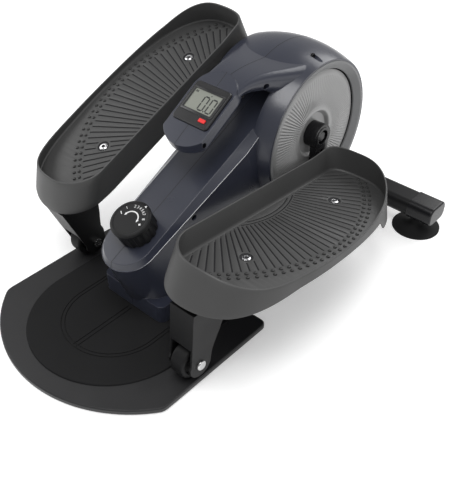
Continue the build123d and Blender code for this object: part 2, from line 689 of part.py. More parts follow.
with BuildPart() as wheel_pulley:
    with BuildSketch(Plane.XY):
        start = WHEEL_X + WHEEL_WIDTH / 2 + 4
        belt_low, belt_high = BELT_X - BELT_WIDTH / 2 - 0.5, BELT_X + BELT_WIDTH / 2 + 0.5
        with BuildLine():
            Polyline(
                (start, WHEEL_AXLE_RADIUS + 4), (start, DRIVEN_RADIUS + 3),
                (belt_low, DRIVEN_RADIUS + 3), (belt_low, DRIVEN_RADIUS),
                (belt_high, DRIVEN_RADIUS), (belt_high, DRIVEN_RADIUS + 3),
                (belt_high + 1.5, DRIVEN_RADIUS + 3), (belt_high + 1.5, WHEEL_AXLE_RADIUS + 4),
                close=True,
            )
        make_face()
    revolve(axis=Axis.X)

with BuildPart() as wheel_bearings:
    for start_x in (WHEEL_X - WHEEL_WIDTH / 2 - 5, BELT_X - 1.5):
        with BuildSketch(across(start_x)):
            Circle(WHEEL_AXLE_RADIUS + 4)
            Circle(WHEEL_AXLE_RADIUS + RUNNING_FIT, mode=Mode.SUBTRACT)
        extrude(amount=8)

wheel_home = Location((0, WHEEL_Y, WHEEL_Z))
save(flywheel.part.moved(wheel_home), "flywheel")
save(wheel_pulley.part.moved(wheel_home), "flywheel_pulley")
save(wheel_bearings.part.moved(wheel_home), "flywheel_bearings")

with BuildPart() as belt:
    with BuildSketch(across(BELT_X - BELT_WIDTH / 2)):
        with Locations((CRANK_Y, CRANK_Z)):
            Circle(DRIVE_RADIUS + FREE_GAP)
        with Locations((WHEEL_Y, WHEEL_Z)):
            Circle(DRIVEN_RADIUS + FREE_GAP)
        make_hull()
        offset(amount=BELT_THICK)
        with BuildSketch(mode=Mode.PRIVATE) as inside_belt:
            with Locations((CRANK_Y, CRANK_Z)):
                Circle(DRIVE_RADIUS + FREE_GAP)
            with Locations((WHEEL_Y, WHEEL_Z)):
                Circle(DRIVEN_RADIUS + FREE_GAP)
            make_hull()
        add(inside_belt.sketch, mode=Mode.SUBTRACT)
    extrude(amount=BELT_WIDTH)
save(belt.part, "drive_belt")

shoe_low = WHEEL_X - WHEEL_WIDTH / 2 - MAGNET_GAP - MAGNET_THICK
shoe_high = WHEEL_X + WHEEL_WIDTH / 2 + MAGNET_GAP + MAGNET_THICK
with BuildPart() as brake_arm:
    for plate_x in (shoe_low - 3, shoe_high):
        with BuildSketch(across(plate_x)):
            with Locations((pivot_y, pivot_z)):
                Circle(7)
            with Locations((shoe_y, shoe_z)):
                Circle(MAGNET_RADIUS + 4)
            make_hull()
        extrude(amount=3)
        with BuildSketch(across(plate_x)):
            with Locations((pivot_y, pivot_z)):
                Circle(7)
            with Locations((nut_y, nut_z)):
                Circle(8)
            make_hull()
        extrude(amount=3)
    with BuildSketch(across(shoe_low)):
        with Locations((pivot_y, pivot_z)):
            Circle(7)
        with Locations((nut_y, nut_z)):
            Circle(8)
        with Locations((tie_y, tie_z)):
            Circle(3)
    extrude(amount=shoe_high - shoe_low)
    with BuildSketch(across(shoe_low - 4)):
        with Locations((pivot_y, pivot_z)):
            Circle(4 + RUNNING_FIT)
    extrude(amount=shoe_high - shoe_low + 8, mode=Mode.SUBTRACT)
    # clearance bore for the spindle through the nut
    with BuildSketch(Plane(origin=(0, nut_y, nut_z), x_dir=(1, 0, 0), z_dir=knob_dir)):
        Circle(SPINDLE_RADIUS + 1.2)
    extrude(amount=20, both=True, mode=Mode.SUBTRACT)
save(brake_arm.part, "brake_arm")

with BuildPart() as brake_magnets:
    for start_x in (shoe_low, shoe_high - MAGNET_THICK):
        with BuildSketch(across(start_x)):
            with Locations((shoe_y, shoe_z)):
                Circle(MAGNET_RADIUS)
        extrude(amount=MAGNET_THICK)
save(brake_magnets.part, "brake_magnets")

with BuildPart() as pivot_pin:
    with BuildSketch(across(-FRAME_X - 4)):
        with Locations((pivot_y, pivot_z)):
            Circle(4)
    extrude(amount=2 * (FRAME_X + 4))
save(pivot_pin.part, "brake_pivot_pin")

# ================================================================= knob
deck_plane = Plane(origin=(0, DECK_Y, DECK_Z), x_dir=(1, 0, 0), z_dir=knob_dir)
knob_plane = Plane(origin=(0, knob_y, knob_z), x_dir=(1, 0, 0), z_dir=knob_dir)
with BuildPart() as knob:
    with BuildSketch(knob_plane.offset(0.6)):
        Circle(KNOB_RADIUS - 1)
    extrude(amount=KNOB_HEIGHT - 5)
    with BuildSketch(knob_plane.offset(KNOB_HEIGHT - 4.4)):
        Circle(KNOB_RADIUS)
    extrude(amount=5)
    chamfer(knob.edges().filter_by(GeomType.CIRCLE).sort_by(lambda edge: edge.center().Z)[-1], 1.4)
    # finger flutes round the skirt
    with BuildSketch(knob_plane.offset(0.6)):
        with PolarLocations(KNOB_RADIUS + 3.5, 14):
            Circle(6)
    extrude(amount=KNOB_HEIGHT - 7, mode=Mode.SUBTRACT)
    with BuildSketch(knob_plane.offset(0.6)):
        Circle(SPINDLE_RADIUS)
    extrude(amount=12, mode=Mode.SUBTRACT)
save(knob.part, "tension_knob")

with BuildPart() as spindle:
    with BuildSketch(knob_plane.offset(12.6)):
        Circle(SPINDLE_RADIUS)
    extrude(amount=-(12.6 + NUT_DEPTH + 17))
    with BuildSketch(knob_plane.offset(-SHELL_WALL - 6 - FREE_GAP)):
        Circle(SPINDLE_RADIUS + 3)
    extrude(amount=-2)
save(spindle.part, "knob_spindle")

with BuildPart() as knob_bush:
    # flanged bush in the deck, which carries the spindle
    with BuildSketch(knob_plane.offset(-SHELL_WALL - 6)):
        Circle(SPINDLE_RADIUS + 3)
        Circle(SPINDLE_RADIUS + RUNNING_FIT, mode=Mode.SUBTRACT)
    extrude(amount=SHELL_WALL + 6)
    with BuildSketch(knob_plane.offset(-SHELL_WALL - 3)):
        Circle(SPINDLE_RADIUS + 7)
        Circle(SPINDLE_RADIUS + 2, mode=Mode.SUBTRACT)
    extrude(amount=3)
save(knob_bush.part, "knob_bush")

# ================================================================= housing
def low_outline(plane, nose, middle, back, half_nose, half_mid, half_back):
    """Face of the low body: straight flanks in two runs and a round nose."""
    with BuildSketch(plane) as outline:
        with BuildLine():
            right = Polyline((half_back, back), (half_mid, middle), (half_nose, nose + half_nose))
            nose_end = ThreePointArc(right @ 1, (0, nose), (-half_nose, nose + half_nose))
            left = Polyline(nose_end @ 1, (-half_mid, middle), (-half_back, back))
            Line(left @ 1, (half_back, back))
        make_face()
    return outline.sketch


def low_body(inset):
    """The low body, or with an inset the space inside its walls."""
    deck = low_outline(
        deck_plane.offset(-inset), DECK_NOSE + inset, BEAD_MID, DECK_BACK,
        DECK_HALF - inset, DECK_HALF - inset, DECK_HALF - inset,
    )
    bead_plane = deck_plane.offset(-BEAD_DROP)
    bead_sizes = (
        BEAD_NOSE + inset, BEAD_MID, BEAD_BACK,
        BEAD_HALF_NOSE - inset, BEAD_HALF_MID - inset, BEAD_HALF_BACK - inset,
    )
    foot = low_outline(
        Plane.XY.offset(FOOT_Z + inset), FOOT_NOSE + inset, FOOT_MID, FOOT_BACK - inset,
        FOOT_HALF_NOSE - inset, FOOT_HALF_MID - inset, FOOT_HALF_BACK - inset,
    )
    with BuildPart() as body:
        loft([deck, low_outline(bead_plane, *bead_sizes)], ruled=True)
        loft([low_outline(bead_plane, *bead_sizes), foot], ruled=True)
    return body.part


def side_space(points, half):
    """A space with this side view, from -half to half across the machine."""
    with BuildPart() as space:
        with BuildSketch(across(-half)):
            with BuildLine():
                Polyline(*points, close=True)
            make_face()
        extrude(amount=2 * half)
    return space.part


def deck_level(y):
    """Height of the deck at this y."""
    return DECK_Z + (y - DECK_Y) * math.tan(math.radians(DECK_SLOPE))


def face_point(up, out):
    """Side-view point of the console face, up its slope and out of it."""
    lean = math.radians(FACE_SLOPE)
    return (
        FACE_Y + up * math.cos(lean) - out * math.sin(lean),
        FACE_Z + up * math.sin(lean) + out * math.cos(lean),
    )


face_lean = math.radians(FACE_SLOPE)
face_plane = Plane(
    origin=(0, FACE_Y, FACE_Z), x_dir=(1, 0, 0),
    z_dir=(0, -math.sin(face_lean), math.cos(face_lean)),
)

with BuildPart() as pod:
    # console: a round-ended slab on the face plane, a little wider below
    with BuildSketch(face_plane):
        with BuildLine():
            right_side = Line((POD_HALF, POD_STRAIGHT_LOW), (POD_HALF, POD_STRAIGHT_HIGH))
            top_arch = ThreePointArc(right_side @ 1, (0, POD_HIGH), (-POD_HALF, POD_STRAIGHT_HIGH))
            left_side = Line(top_arch @ 1, (-POD_HALF, POD_STRAIGHT_LOW))
            ThreePointArc(left_side @ 1, (0, POD_LOW), right_side @ 0)
        make_face()
    extrude(amount=-POD_DEPTH, taper=-6)
    fillet(pod.edges().filter_by(lambda e: e.center().Z < face_point(0, -POD_DEPTH)[1] + 60)
           .group_by(Axis((0, 0, 0), (0, -math.sin(face_lean), math.cos(face_lean))))[0], 6)

with BuildPart() as neck:
    # arch that carries the console from the top of the drum
    for section_y, half, low, high, corner in (
        (22, 33, 256, 272, 7.5),
        (62, 36, 262, NECK_TOP, 9),
        (104, 52, 246, NECK_TOP, 14),
        (146, 66, 232, NECK_TOP - 2, 16),
    ):
        with BuildSketch(Plane.XZ.offset(-section_y)):
            with Locations((0, (low + high) / 2)):
                RectangleRounded(2 * half, high - low, corner)
    loft()

def barrel(half, edge, crown):
    """The drum on the crank axis: crowned in the middle, smaller at its two edges."""
    with BuildPart() as turned:
        with BuildSketch(Plane.XY):
            with BuildLine():
                side = ThreePointArc((-half, edge), (0, crown), (half, edge))
                Polyline(side @ 1, (half, 0), (-half, 0), side @ 0)
            make_face()
        revolve(axis=Axis.X)
    return turned.part.moved(Location((0, CRANK_Y, CRANK_Z)))


def belt_room(wall):
    """Room that the belt needs round its large pulley, or with a wall its cover."""
    with BuildPart() as room:
        with BuildSketch(across(BELT_X - rim_half - BELT_CLEAR - wall)):
            with Locations((CRANK_Y, CRANK_Z)):
                Circle(DRIVE_RADIUS + FREE_GAP + BELT_THICK + BELT_CLEAR + wall)
        extrude(amount=2 * (rim_half + BELT_CLEAR + wall))
    return room.part


def belt_under(y):
    """Height of the belt's lower run at this y."""
    rise, run = CRANK_Z - WHEEL_Z, CRANK_Y - WHEEL_Y
    lean = math.atan2(rise, run) - math.asin((DRIVE_RADIUS - DRIVEN_RADIUS) / math.hypot(rise, run))
    below = (DRIVEN_RADIUS + FREE_GAP + BELT_THICK) / math.cos(lean)
    return WHEEL_Z - below + (y - WHEEL_Y) * math.tan(lean)


scoop_points = [
    (SCOOP_END, deck_level(SCOOP_END)), (SCOOP_END, 250), (84, 263.5), (60, 263.5),
    (20, 240), (20, deck_level(20)),
]
scoop_skin = [
    (SCOOP_END + SHELL_WALL, deck_level(SCOOP_END) - SHELL_WALL), (SCOOP_END + SHELL_WALL, 252),
    (86, 263.5 + SHELL_WALL), (60, 263.5 + SHELL_WALL), (20, 240), (20, deck_level(20) - SHELL_WALL),
]
low_front_y = 206.0
screw_sites = [          # y, z, outer x of the recess, inner x of the boss
    (-68.0, 138.0, 44.0, 0.0),
    (-30.0, 219.0, 34.0, 0.0),
    (44.0, 263.0, 35.0, 0.0),
    (-105.0, 60.0, 50.0, 0.0),
    (206.0, 36.0, 50.0, RAIL_HALF + 1),
    (75.0, belt_under(75.0) - BOSS_RADIUS - BOSS_CLEAR, 54.0, 0.0),
    (76.0, 268.0, 42.0, 0.0),
    (165.0, 283.0, 56.0, 0.0),
]

with BuildPart() as housing:
    add(barrel(DRUM_HALF, DRUM_EDGE, DRUM_CROWN))
    add(low_body(0))
    add(neck.part)
    add(side_space(scoop_points, SCOOP_HALF), mode=Mode.SUBTRACT)
    add(belt_room(SHELL_WALL))
    add(pod.part)
    with BuildSketch(Plane.XY.offset(PLATE_TOP + MAT_THICK)):
        with Locations((0, (BLOCK_FRONT + BLOCK_BACK) / 2)):
            RectangleRounded(2 * BLOCK_HALF, BLOCK_BACK - BLOCK_FRONT, 10)
    extrude(amount=BLOCK_TOP - PLATE_TOP - MAT_THICK)

with BuildPart() as hollow:
    add(barrel(DRUM_HALF - SHELL_WALL, DRUM_EDGE - SHELL_WALL, DRUM_CROWN - SHELL_WALL))
    add(low_body(SHELL_WALL))
    add(side_space(scoop_skin, SCOOP_HALF + SHELL_WALL), mode=Mode.SUBTRACT)
    add(belt_room(0))
    # bosses for the screws that join the two halves
    for site_y, site_z, site_x, inner_x in screw_sites:
        for side_sign in (-1, 1):
            with BuildSketch(across(side_sign * inner_x)):
                with Locations((site_y, site_z)):
                    Circle(BOSS_RADIUS)
            extrude(amount=side_sign * (site_x - inner_x), mode=Mode.SUBTRACT)

with BuildPart() as shell:
    add(housing.part)
    add(hollow.part, mode=Mode.SUBTRACT)
    # round openings for the disc rings, each with a ledge
    for side_sign in (-1, 1):
        with BuildSketch(across(side_sign * (DRUM_HALF + 1))):
            with Locations((CRANK_Y, CRANK_Z)):
                Circle(RING_RADIUS + 0.2)
        extrude(amount=-side_sign * 10, mode=Mode.SUBTRACT)
        with BuildSketch(across(side_sign * 63)):
            with Locations((CRANK_Y, CRANK_Z)):
                Circle(DRUM_EDGE - 1)
                Circle(RING_RADIUS - 4.8, mode=Mode.SUBTRACT)
        extrude(amount=-side_sign * 2.5)
    # way out for the rail, a slot for the brake screw seat, and the knob bush
    with BuildSketch(Plane.XZ.offset(-(FOOT_BACK - 20))):
        with Locations((0, (RAIL_BOTTOM + RAIL_TOP) / 2)):
            Rectangle(2 * RAIL_HALF + 1, RAIL_TOP - RAIL_BOTTOM + 1)
    extrude(amount=-40, mode=Mode.SUBTRACT)
    with BuildSketch(Plane.XY.offset(PLATE_TOP + MAT_THICK)):
        with Locations((0, -100)):
            Rectangle(72, 46)
    extrude(amount=RAIL_BOTTOM + 1 - PLATE_TOP - MAT_THICK, mode=Mode.SUBTRACT)
    with BuildSketch(knob_plane.offset(1)):
        Circle(SPINDLE_RADIUS + 3)
    extrude(amount=-30, mode=Mode.SUBTRACT)
    # pocket for the meter, and the recesses of the joining screws
    with BuildSketch(face_plane.offset(1)):
        with Locations((0, METER_MIDDLE)):
            RectangleRounded(METER_SIZE + 0.4, METER_SIZE + 0.4, 5)
    extrude(amount=-METER_SINK - 1, mode=Mode.SUBTRACT)
    for site_y, site_z, site_x, inner_x in screw_sites:
        with BuildSketch(across(site_x + 30)):
            with Locations((site_y, site_z)):
                Circle(4)
        extrude(amount=-40, mode=Mode.SUBTRACT)
        with BuildSketch(across(site_x - 10)):
            with Locations((site_y, site_z)):
                Circle(1.8)
        extrude(amount=-(site_x + 8 if inner_x == 0 else site_x - 10 - inner_x - 2), mode=Mode.SUBTRACT)

for side, keep in (("right", Keep.TOP), ("left", Keep.BOTTOM)):
    with BuildPart() as half_shell:
        add(shell.part)
        split(bisect_by=Plane.YZ, keep=keep)
    save(half_shell.part, "housing_" + side)

with BuildPart() as housing_screws:
    for site_y, site_z, site_x, inner_x in screw_sites:
        with BuildSketch(across(site_x - 10)):
            with Locations((site_y, site_z)):
                Circle(3.7)
        extrude(amount=3)
        with BuildSketch(across(site_x - 8)):
            with Locations((site_y, site_z)):
                RegularPolygon(1.8, 6)
        extrude(amount=2, mode=Mode.SUBTRACT)
        with BuildSketch(across(site_x - 10)):
            with Locations((site_y, site_z)):
                Circle(1.75)
        extrude(amount=-(site_x + 2 if inner_x == 0 else site_x - 10 - inner_x - 3))
save(housing_screws.part, "housing_screws")

# ================================================================= meter
with BuildPart() as meter:
    with BuildSketch(face_plane.offset(-METER_SINK)):
        with Locations((0, METER_MIDDLE)):
            RectangleRounded(METER_SIZE, METER_SIZE, 5)
    extrude(amount=METER_SINK + METER_PROUD)
    top_face = meter.faces().sort_by(lambda face: face.center().Z)[-1]
    chamfer(top_face.edges(), 1.2)
    with BuildSketch(face_plane.offset(METER_PROUD)):
        with Locations((0, LCD_MIDDLE)):
            Rectangle(LCD_WIDTH, LCD_HEIGHT)
    extrude(amount=-1.5, mode=Mode.SUBTRACT)
    with BuildSketch(face_plane.offset(METER_PROUD)):
        with Locations((BUTTON_X, BUTTON_MIDDLE)):
            Rectangle(BUTTON_WIDTH + 2 * FREE_GAP, BUTTON_HEIGHT + 2 * FREE_GAP)
    extrude(amount=-4.5, mode=Mode.SUBTRACT)
save(meter.part, "meter_case")

with BuildPart() as lcd:
    with BuildSketch(face_plane.offset(METER_PROUD - 1.5)):
        with Locations((0, LCD_MIDDLE)):
            Rectangle(LCD_WIDTH, LCD_HEIGHT)
    extrude(amount=1.2)
save(lcd.part, "meter_display")

with BuildPart() as button:
    with BuildSketch(face_plane.offset(METER_PROUD - 4.5 + BUTTON_TRAVEL + FREE_GAP)):
        with Locations((BUTTON_X, BUTTON_MIDDLE)):
            Rectangle(BUTTON_WIDTH, BUTTON_HEIGHT)
    extrude(amount=4.5 - FREE_GAP + 0.2)
save(button.part, "reset_button")

# ================================================================= floor plate and mat
def plate_outline(level, inset):
    """Outline of the floor plate: straight flanks, a wide arc, two forward ears."""
    half = PLATE_HALF - inset
    with BuildSketch(Plane.XY.offset(level)) as outline:
        with BuildLine():
            flank = Line((half, PLATE_CORNER), (half, PLATE_EAR - inset))
            edge = Polyline(
                flank @ 1, (half - 24, PLATE_EAR - inset), (half - 50, PLATE_FRONT - inset),
                (50 - half, PLATE_FRONT - inset), (24 - half, PLATE_EAR - inset),
                (-half, PLATE_EAR - inset), (-half, PLATE_CORNER),
            )
            ThreePointArc(edge @ 1, (0, PLATE_TIP + inset), flank @ 0)
        make_face()
        fillet(outline.vertices().group_by(Axis.Y)[-1], 10)
        fillet(outline.vertices().sort_by(Axis.Y)[:2], 18)
    return outline.sketch


def arch_outline(radius, front):
    """A half round at the user's end with straight sides running forward."""
    with BuildSketch(Plane.XY) as outline:
        with BuildLine():
            sides = Polyline((radius, MAT_CENTRE), (radius, front), (-radius, front), (-radius, MAT_CENTRE))
            ThreePointArc(sides @ 1, (0, MAT_CENTRE - radius), sides @ 0)
        make_face()
    return outline.sketch




with BuildPart() as plate:
    extrude(plate_outline(PLATE_BOTTOM, 0), amount=PLATE_TOP - PLATE_BOTTOM)
    chamfer(plate.faces().sort_by(Axis.Z)[-1].edges(), 1.5)
    with BuildSketch(Plane.XY.offset(PLATE_BOTTOM)):
        with Locations(*PLATE_SCREWS):
            Circle(6.2)
    extrude(amount=3.2, mode=Mode.SUBTRACT)
    with BuildSketch(Plane.XY):
        with Locations(*PLATE_SCREWS):
            Circle(3.1)
    extrude(amount=20, mode=Mode.SUBTRACT)
save(plate.part, "floor_plate")

with BuildPart() as plate_screws:
    # pan heads sunk in the plate's under side, threaded into the frame's feet
    with BuildSketch(Plane.XY.offset(PLATE_BOTTOM + 0.2)):
        with Locations(*PLATE_SCREWS):
            Circle(6)
    extrude(amount=3)
    with BuildSketch(Plane.XY.offset(PLATE_BOTTOM + 0.2)):
        with Locations(*PLATE_SCREWS):
            RegularPolygon(2.9, 6)
    extrude(amount=2, mode=Mode.SUBTRACT)
    with BuildSketch(Plane.XY.offset(PLATE_BOTTOM + 3.2)):
        with Locations(*PLATE_SCREWS):
            Circle(3)
    extrude(amount=18)
save(plate_screws.part, "plate_screws")

with BuildPart() as mat:
    with BuildSketch(Plane.XY.offset(PLATE_TOP)):
        add(arch_outline(MAT_RADIUS, PLATE_FRONT - 4))
    extrude(amount=MAT_THICK)
    chamfer(mat.faces().sort_by(Axis.Z)[-1].edges(), MAT_THICK * 0.6)
    # two grooves round the foot track and two along its middle
    with BuildSketch(Plane.XY.offset(PLATE_TOP + MAT_THICK)):
        for radius in (OVAL_RADIUS, OVAL_RADIUS - 5):
            with BuildSketch(mode=Mode.PRIVATE) as groove:
                add(arch_outline(radius, PLATE_FRONT - 30))
                add(arch_outline(radius - GROOVE, PLATE_FRONT - 30 - GROOVE), mode=Mode.SUBTRACT)
            add(groove.sketch)
        with Locations((-3, -200), (3, -200)):
            Rectangle(GROOVE, 96)
    extrude(amount=-0.9, mode=Mode.SUBTRACT)
    with BuildSketch(Plane.XY):
        with Locations(*PLATE_SCREWS):
            Circle(3.1)
    extrude(amount=20, mode=Mode.SUBTRACT)
save(mat.part, "floor_mat")

with BuildPart() as underlay:
    # rubber sheet that keeps the plate off the floor
    extrude(plate_outline(0, 5), amount=PLATE_BOTTOM)
save(underlay.part, "plate_underlay")

# ================================================================= front stabiliser
def tube_section(x, grow):
    """Section of the front tube at this x, grown all round."""
    with BuildSketch(across(x)) as section:
        with Locations((TUBE_Y, TUBE_Z)):
            RectangleRounded(TUBE_DEPTH + 2 * grow, TUBE_HEIGHT + 2 * grow, 10 + grow)
    return section.sketch


cap_start, cap_end, foot_x = TUBE_HALF - CAP_COVER, TUBE_HALF + CAP_NOSE, TUBE_HALF - FOOT_IN
with BuildPart() as tube:
    extrude(tube_section(-TUBE_HALF, 0), amount=2 * TUBE_HALF)
    extrude(tube_section(-TUBE_HALF, -TUBE_WALL), amount=2 * TUBE_HALF, mode=Mode.SUBTRACT)
    with BuildSketch(Plane.XY):
        with Locations((-BOLT_X, TUBE_Y), (BOLT_X, TUBE_Y)):
            Circle(BOLT_RADIUS + 0.2)
        with Locations((-foot_x, TUBE_Y), (foot_x, TUBE_Y)):
            Circle(5.2)
    extrude(amount=90, mode=Mode.SUBTRACT)
save(tube.part, "front_tube")

for side, side_sign in (("right", 1), ("left", -1)):
    with BuildPart() as cap:
        extrude(tube_section(side_sign * cap_start, CAP_WALL), amount=side_sign * (cap_end - cap_start))
        outer_edges = cap.faces().sort_by(Axis.X)[-1 if side_sign > 0 else 0].edges()
        fillet(outer_edges, 3)
        extrude(tube_section(side_sign * cap_start, 0), amount=side_sign * CAP_COVER, mode=Mode.SUBTRACT)
        with BuildSketch(Plane.XY):
            with Locations((side_sign * foot_x, TUBE_Y)):
                Circle(5.2)
        extrude(amount=TUBE_Z, mode=Mode.SUBTRACT)
    save(cap.part, "tube_cap_" + side)
    with BuildPart() as suction_foot:
        cap_under = TUBE_Z - TUBE_HEIGHT / 2 - CAP_WALL
        with BuildSketch(Plane.XZ):
            with BuildLine():
                dish = Bezier((11, 15), (12, 8), (20, 6.5), (CUP_RADIUS, 1.8))
                Polyline(dish @ 1, (CUP_RADIUS, 0), (CUP_RADIUS - 5, 0))
                Polyline(
                    (CUP_RADIUS - 5, 0), (14, 4.2), (0, 4.2), (0, cap_under), (11, cap_under), (11, 15),
                )
            make_face()
        revolve(axis=Axis.Z)
        with BuildSketch(Plane.XY.offset(cap_under)):
            Circle(5)
        extrude(amount=14)
    save(suction_foot.part.moved(Location((side_sign * foot_x, TUBE_Y, 0))), "suction_foot_" + side)

with BuildPart() as frame_bolts:
    # carriage bolts up through the tube and the saddle
    tube_under = TUBE_Z - TUBE_HEIGHT / 2
    saddle_top = TUBE_Z + TUBE_HEIGHT / 2 + SADDLE_THICK
    for bolt_x in (-BOLT_X, BOLT_X):
        with BuildSketch(Plane.XY.offset(tube_under - 4)):
            with Locations((bolt_x, TUBE_Y)):
                Circle(8.5)
        extrude(amount=4, taper=-12)
        with BuildSketch(Plane.XY.offset(tube_under)):
            with Locations((bolt_x, TUBE_Y)):
                Circle(BOLT_RADIUS)
        extrude(amount=saddle_top + 9 - tube_under)
save(frame_bolts.part, "frame_bolts")

with BuildPart() as washers:
    with BuildSketch(Plane.XY.offset(saddle_top)):
        with Locations((-BOLT_X, TUBE_Y), (BOLT_X, TUBE_Y)):
            Circle(11)
            Circle(BOLT_RADIUS + 0.3, mode=Mode.SUBTRACT)
    extrude(amount=1.8)
save(washers.part, "washers")

with BuildPart() as dome_nuts:
    with BuildSketch(Plane.XY.offset(saddle_top + 1.8)):
        with Locations((-BOLT_X, TUBE_Y), (BOLT_X, TUBE_Y)):
            RegularPolygon(7.4, 6)
    extrude(amount=7)
    with Locations((-BOLT_X, TUBE_Y, saddle_top + 8.8), (BOLT_X, TUBE_Y, saddle_top + 8.8)):
        Sphere(6.2, arc_size1=0)
    with BuildSketch(Plane.XY.offset(saddle_top + 1.8)):
        with Locations((-BOLT_X, TUBE_Y), (BOLT_X, TUBE_Y)):
            Circle(BOLT_RADIUS + 0.02)
    extrude(amount=7.4, mode=Mode.SUBTRACT)
save(dome_nuts.part, "dome_nuts")
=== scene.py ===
"""Looks of the under-desk stair climber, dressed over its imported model."""

from __future__ import annotations

import json
import logging
import math
from dataclasses import dataclass, field
from enum import Enum
from typing import Iterable, Sequence

import bmesh
import bpy
from mathutils import Matrix, Vector

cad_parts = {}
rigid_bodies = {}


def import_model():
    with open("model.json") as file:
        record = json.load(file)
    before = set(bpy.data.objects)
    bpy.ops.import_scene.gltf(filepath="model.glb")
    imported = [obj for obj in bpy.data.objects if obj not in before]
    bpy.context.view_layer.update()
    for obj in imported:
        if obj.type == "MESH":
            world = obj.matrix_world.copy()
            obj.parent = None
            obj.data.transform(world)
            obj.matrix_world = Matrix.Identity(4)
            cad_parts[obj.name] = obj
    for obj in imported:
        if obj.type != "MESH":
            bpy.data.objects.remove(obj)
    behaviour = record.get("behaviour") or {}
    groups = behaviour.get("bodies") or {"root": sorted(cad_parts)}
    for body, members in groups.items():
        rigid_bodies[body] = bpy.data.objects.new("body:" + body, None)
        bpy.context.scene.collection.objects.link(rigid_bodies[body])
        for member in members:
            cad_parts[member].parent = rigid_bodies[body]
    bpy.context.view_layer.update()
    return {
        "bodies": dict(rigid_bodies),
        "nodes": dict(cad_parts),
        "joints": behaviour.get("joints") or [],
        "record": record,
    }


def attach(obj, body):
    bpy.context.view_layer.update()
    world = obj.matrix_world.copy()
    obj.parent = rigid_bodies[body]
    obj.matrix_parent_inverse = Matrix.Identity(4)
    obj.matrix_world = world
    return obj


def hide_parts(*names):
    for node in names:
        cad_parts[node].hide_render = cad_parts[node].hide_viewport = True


LOG = logging.getLogger("stair_climber")
MM = 0.001
Point2 = tuple[float, float]
Point3 = tuple[float, float, float]
Faces = list[Sequence[int]]


def fill(shader: bpy.types.Node, **values: object) -> None:
    """Sets or links the inputs of a shader node.

    Args:
        shader: The node.
        **values: A value or another node's output for each input, named with _ for its spaces.
    """
    for name, value in values.items():
        socket = shader.inputs[name.replace("_", " ")]
        if isinstance(value, bpy.types.NodeSocket):
            shader.id_data.links.new(value, socket)
        else:
            socket.default_value = value


def node(tree: bpy.types.NodeTree, kind: str, **values: object) -> bpy.types.Node:
    """Adds a shader node.

    Args:
        tree: The tree that it joins.
        kind: Its type, after "ShaderNode".
        **values: What its inputs get, as in fill.

    Returns:
        The node.
    """
    made = tree.nodes.new("ShaderNode" + kind)
    fill(made, **values)
    return made


def linked(name: str, data: bpy.types.ID) -> bpy.types.Object:
    """Makes an object and links it to the scene.

    Args:
        name: The object's name.
        data: Its mesh, curve, lamp or camera.

    Returns:
        The object.
    """
    piece = bpy.data.objects.new(name, data)
    bpy.context.scene.collection.objects.link(piece)
    return piece


def meshed(name: str, curve: bpy.types.Curve) -> bpy.types.Mesh:
    """Turns a curve or a text into a mesh.

    Args:
        name: The curve's name.
        curve: The curve, which is used up.

    Returns:
        The mesh.
    """
    holder = linked(name, curve)
    bpy.context.view_layer.update()
    data = bpy.data.meshes.new_from_object(holder)
    bpy.data.objects.remove(holder)
    return data


def draw(curve: bpy.types.Curve, points: Sequence[Point3]) -> bpy.types.Spline:
    """Adds a straight-sided line to a curve.

    Args:
        curve: The curve.
        points: The line's points, in millimetres.

    Returns:
        The line.
    """
    line = curve.splines.new("POLY")
    line.points.add(len(points) - 1)
    for knot, spot in zip(line.points, points):
        knot.co = (*[c * MM for c in spot], 1)
    return line


def bands(start: int, rows: int, count: int, capped: bool = False) -> Faces:
    """Joins rings of points, each to the next one.

    Args:
        start: Number of the first point.
        rows: How many rings there are.
        count: Points in each ring.
        capped: Whether the first and the last ring are closed.

    Returns:
        The corner numbers of the faces.
    """
    faces: Faces = []
    for row in range(start, start + (rows - 1) * count, count):
        for k in range(count):
            nxt = (k + 1) % count
            faces.append((row + k, row + nxt, row + count + nxt, row + count + k))
    if capped:
        faces += [tuple(range(k, k + count)) for k in (start, start + (rows - 1) * count)]
    return faces


def polar(radius: float, angle: float) -> Point2:
    """The point at a radius and an angle in radians."""
    return radius * math.cos(angle), radius * math.sin(angle)


def part_way(value: float, start: float, span: float) -> float:
    """Share from 0 to 1 that a value has gone past a start, over a span."""
    return min(1.0, max(0.0, (value - start) / span))


class Side(Enum):
    """Which side of the machine a piece belongs to, as the sign of its X."""

    RIGHT = 1
    LEFT = -1

    @property
    def word(self) -> str:
        """The side's name as the nodes and bodies use it."""
        return self.name.lower()


class Grain(Enum):
    """Surface texture of a finish: (cells per metre, bump depth in mm)."""

    POLISHED = (900.0, 0.004)
    MOULDED = (2200.0, 0.02)
    POWDER = (3200.0, 0.035)
    TURNED = (1500.0, 0.01)
    CAST = (1400.0, 0.09)
    SOFT = (1800.0, 0.04)


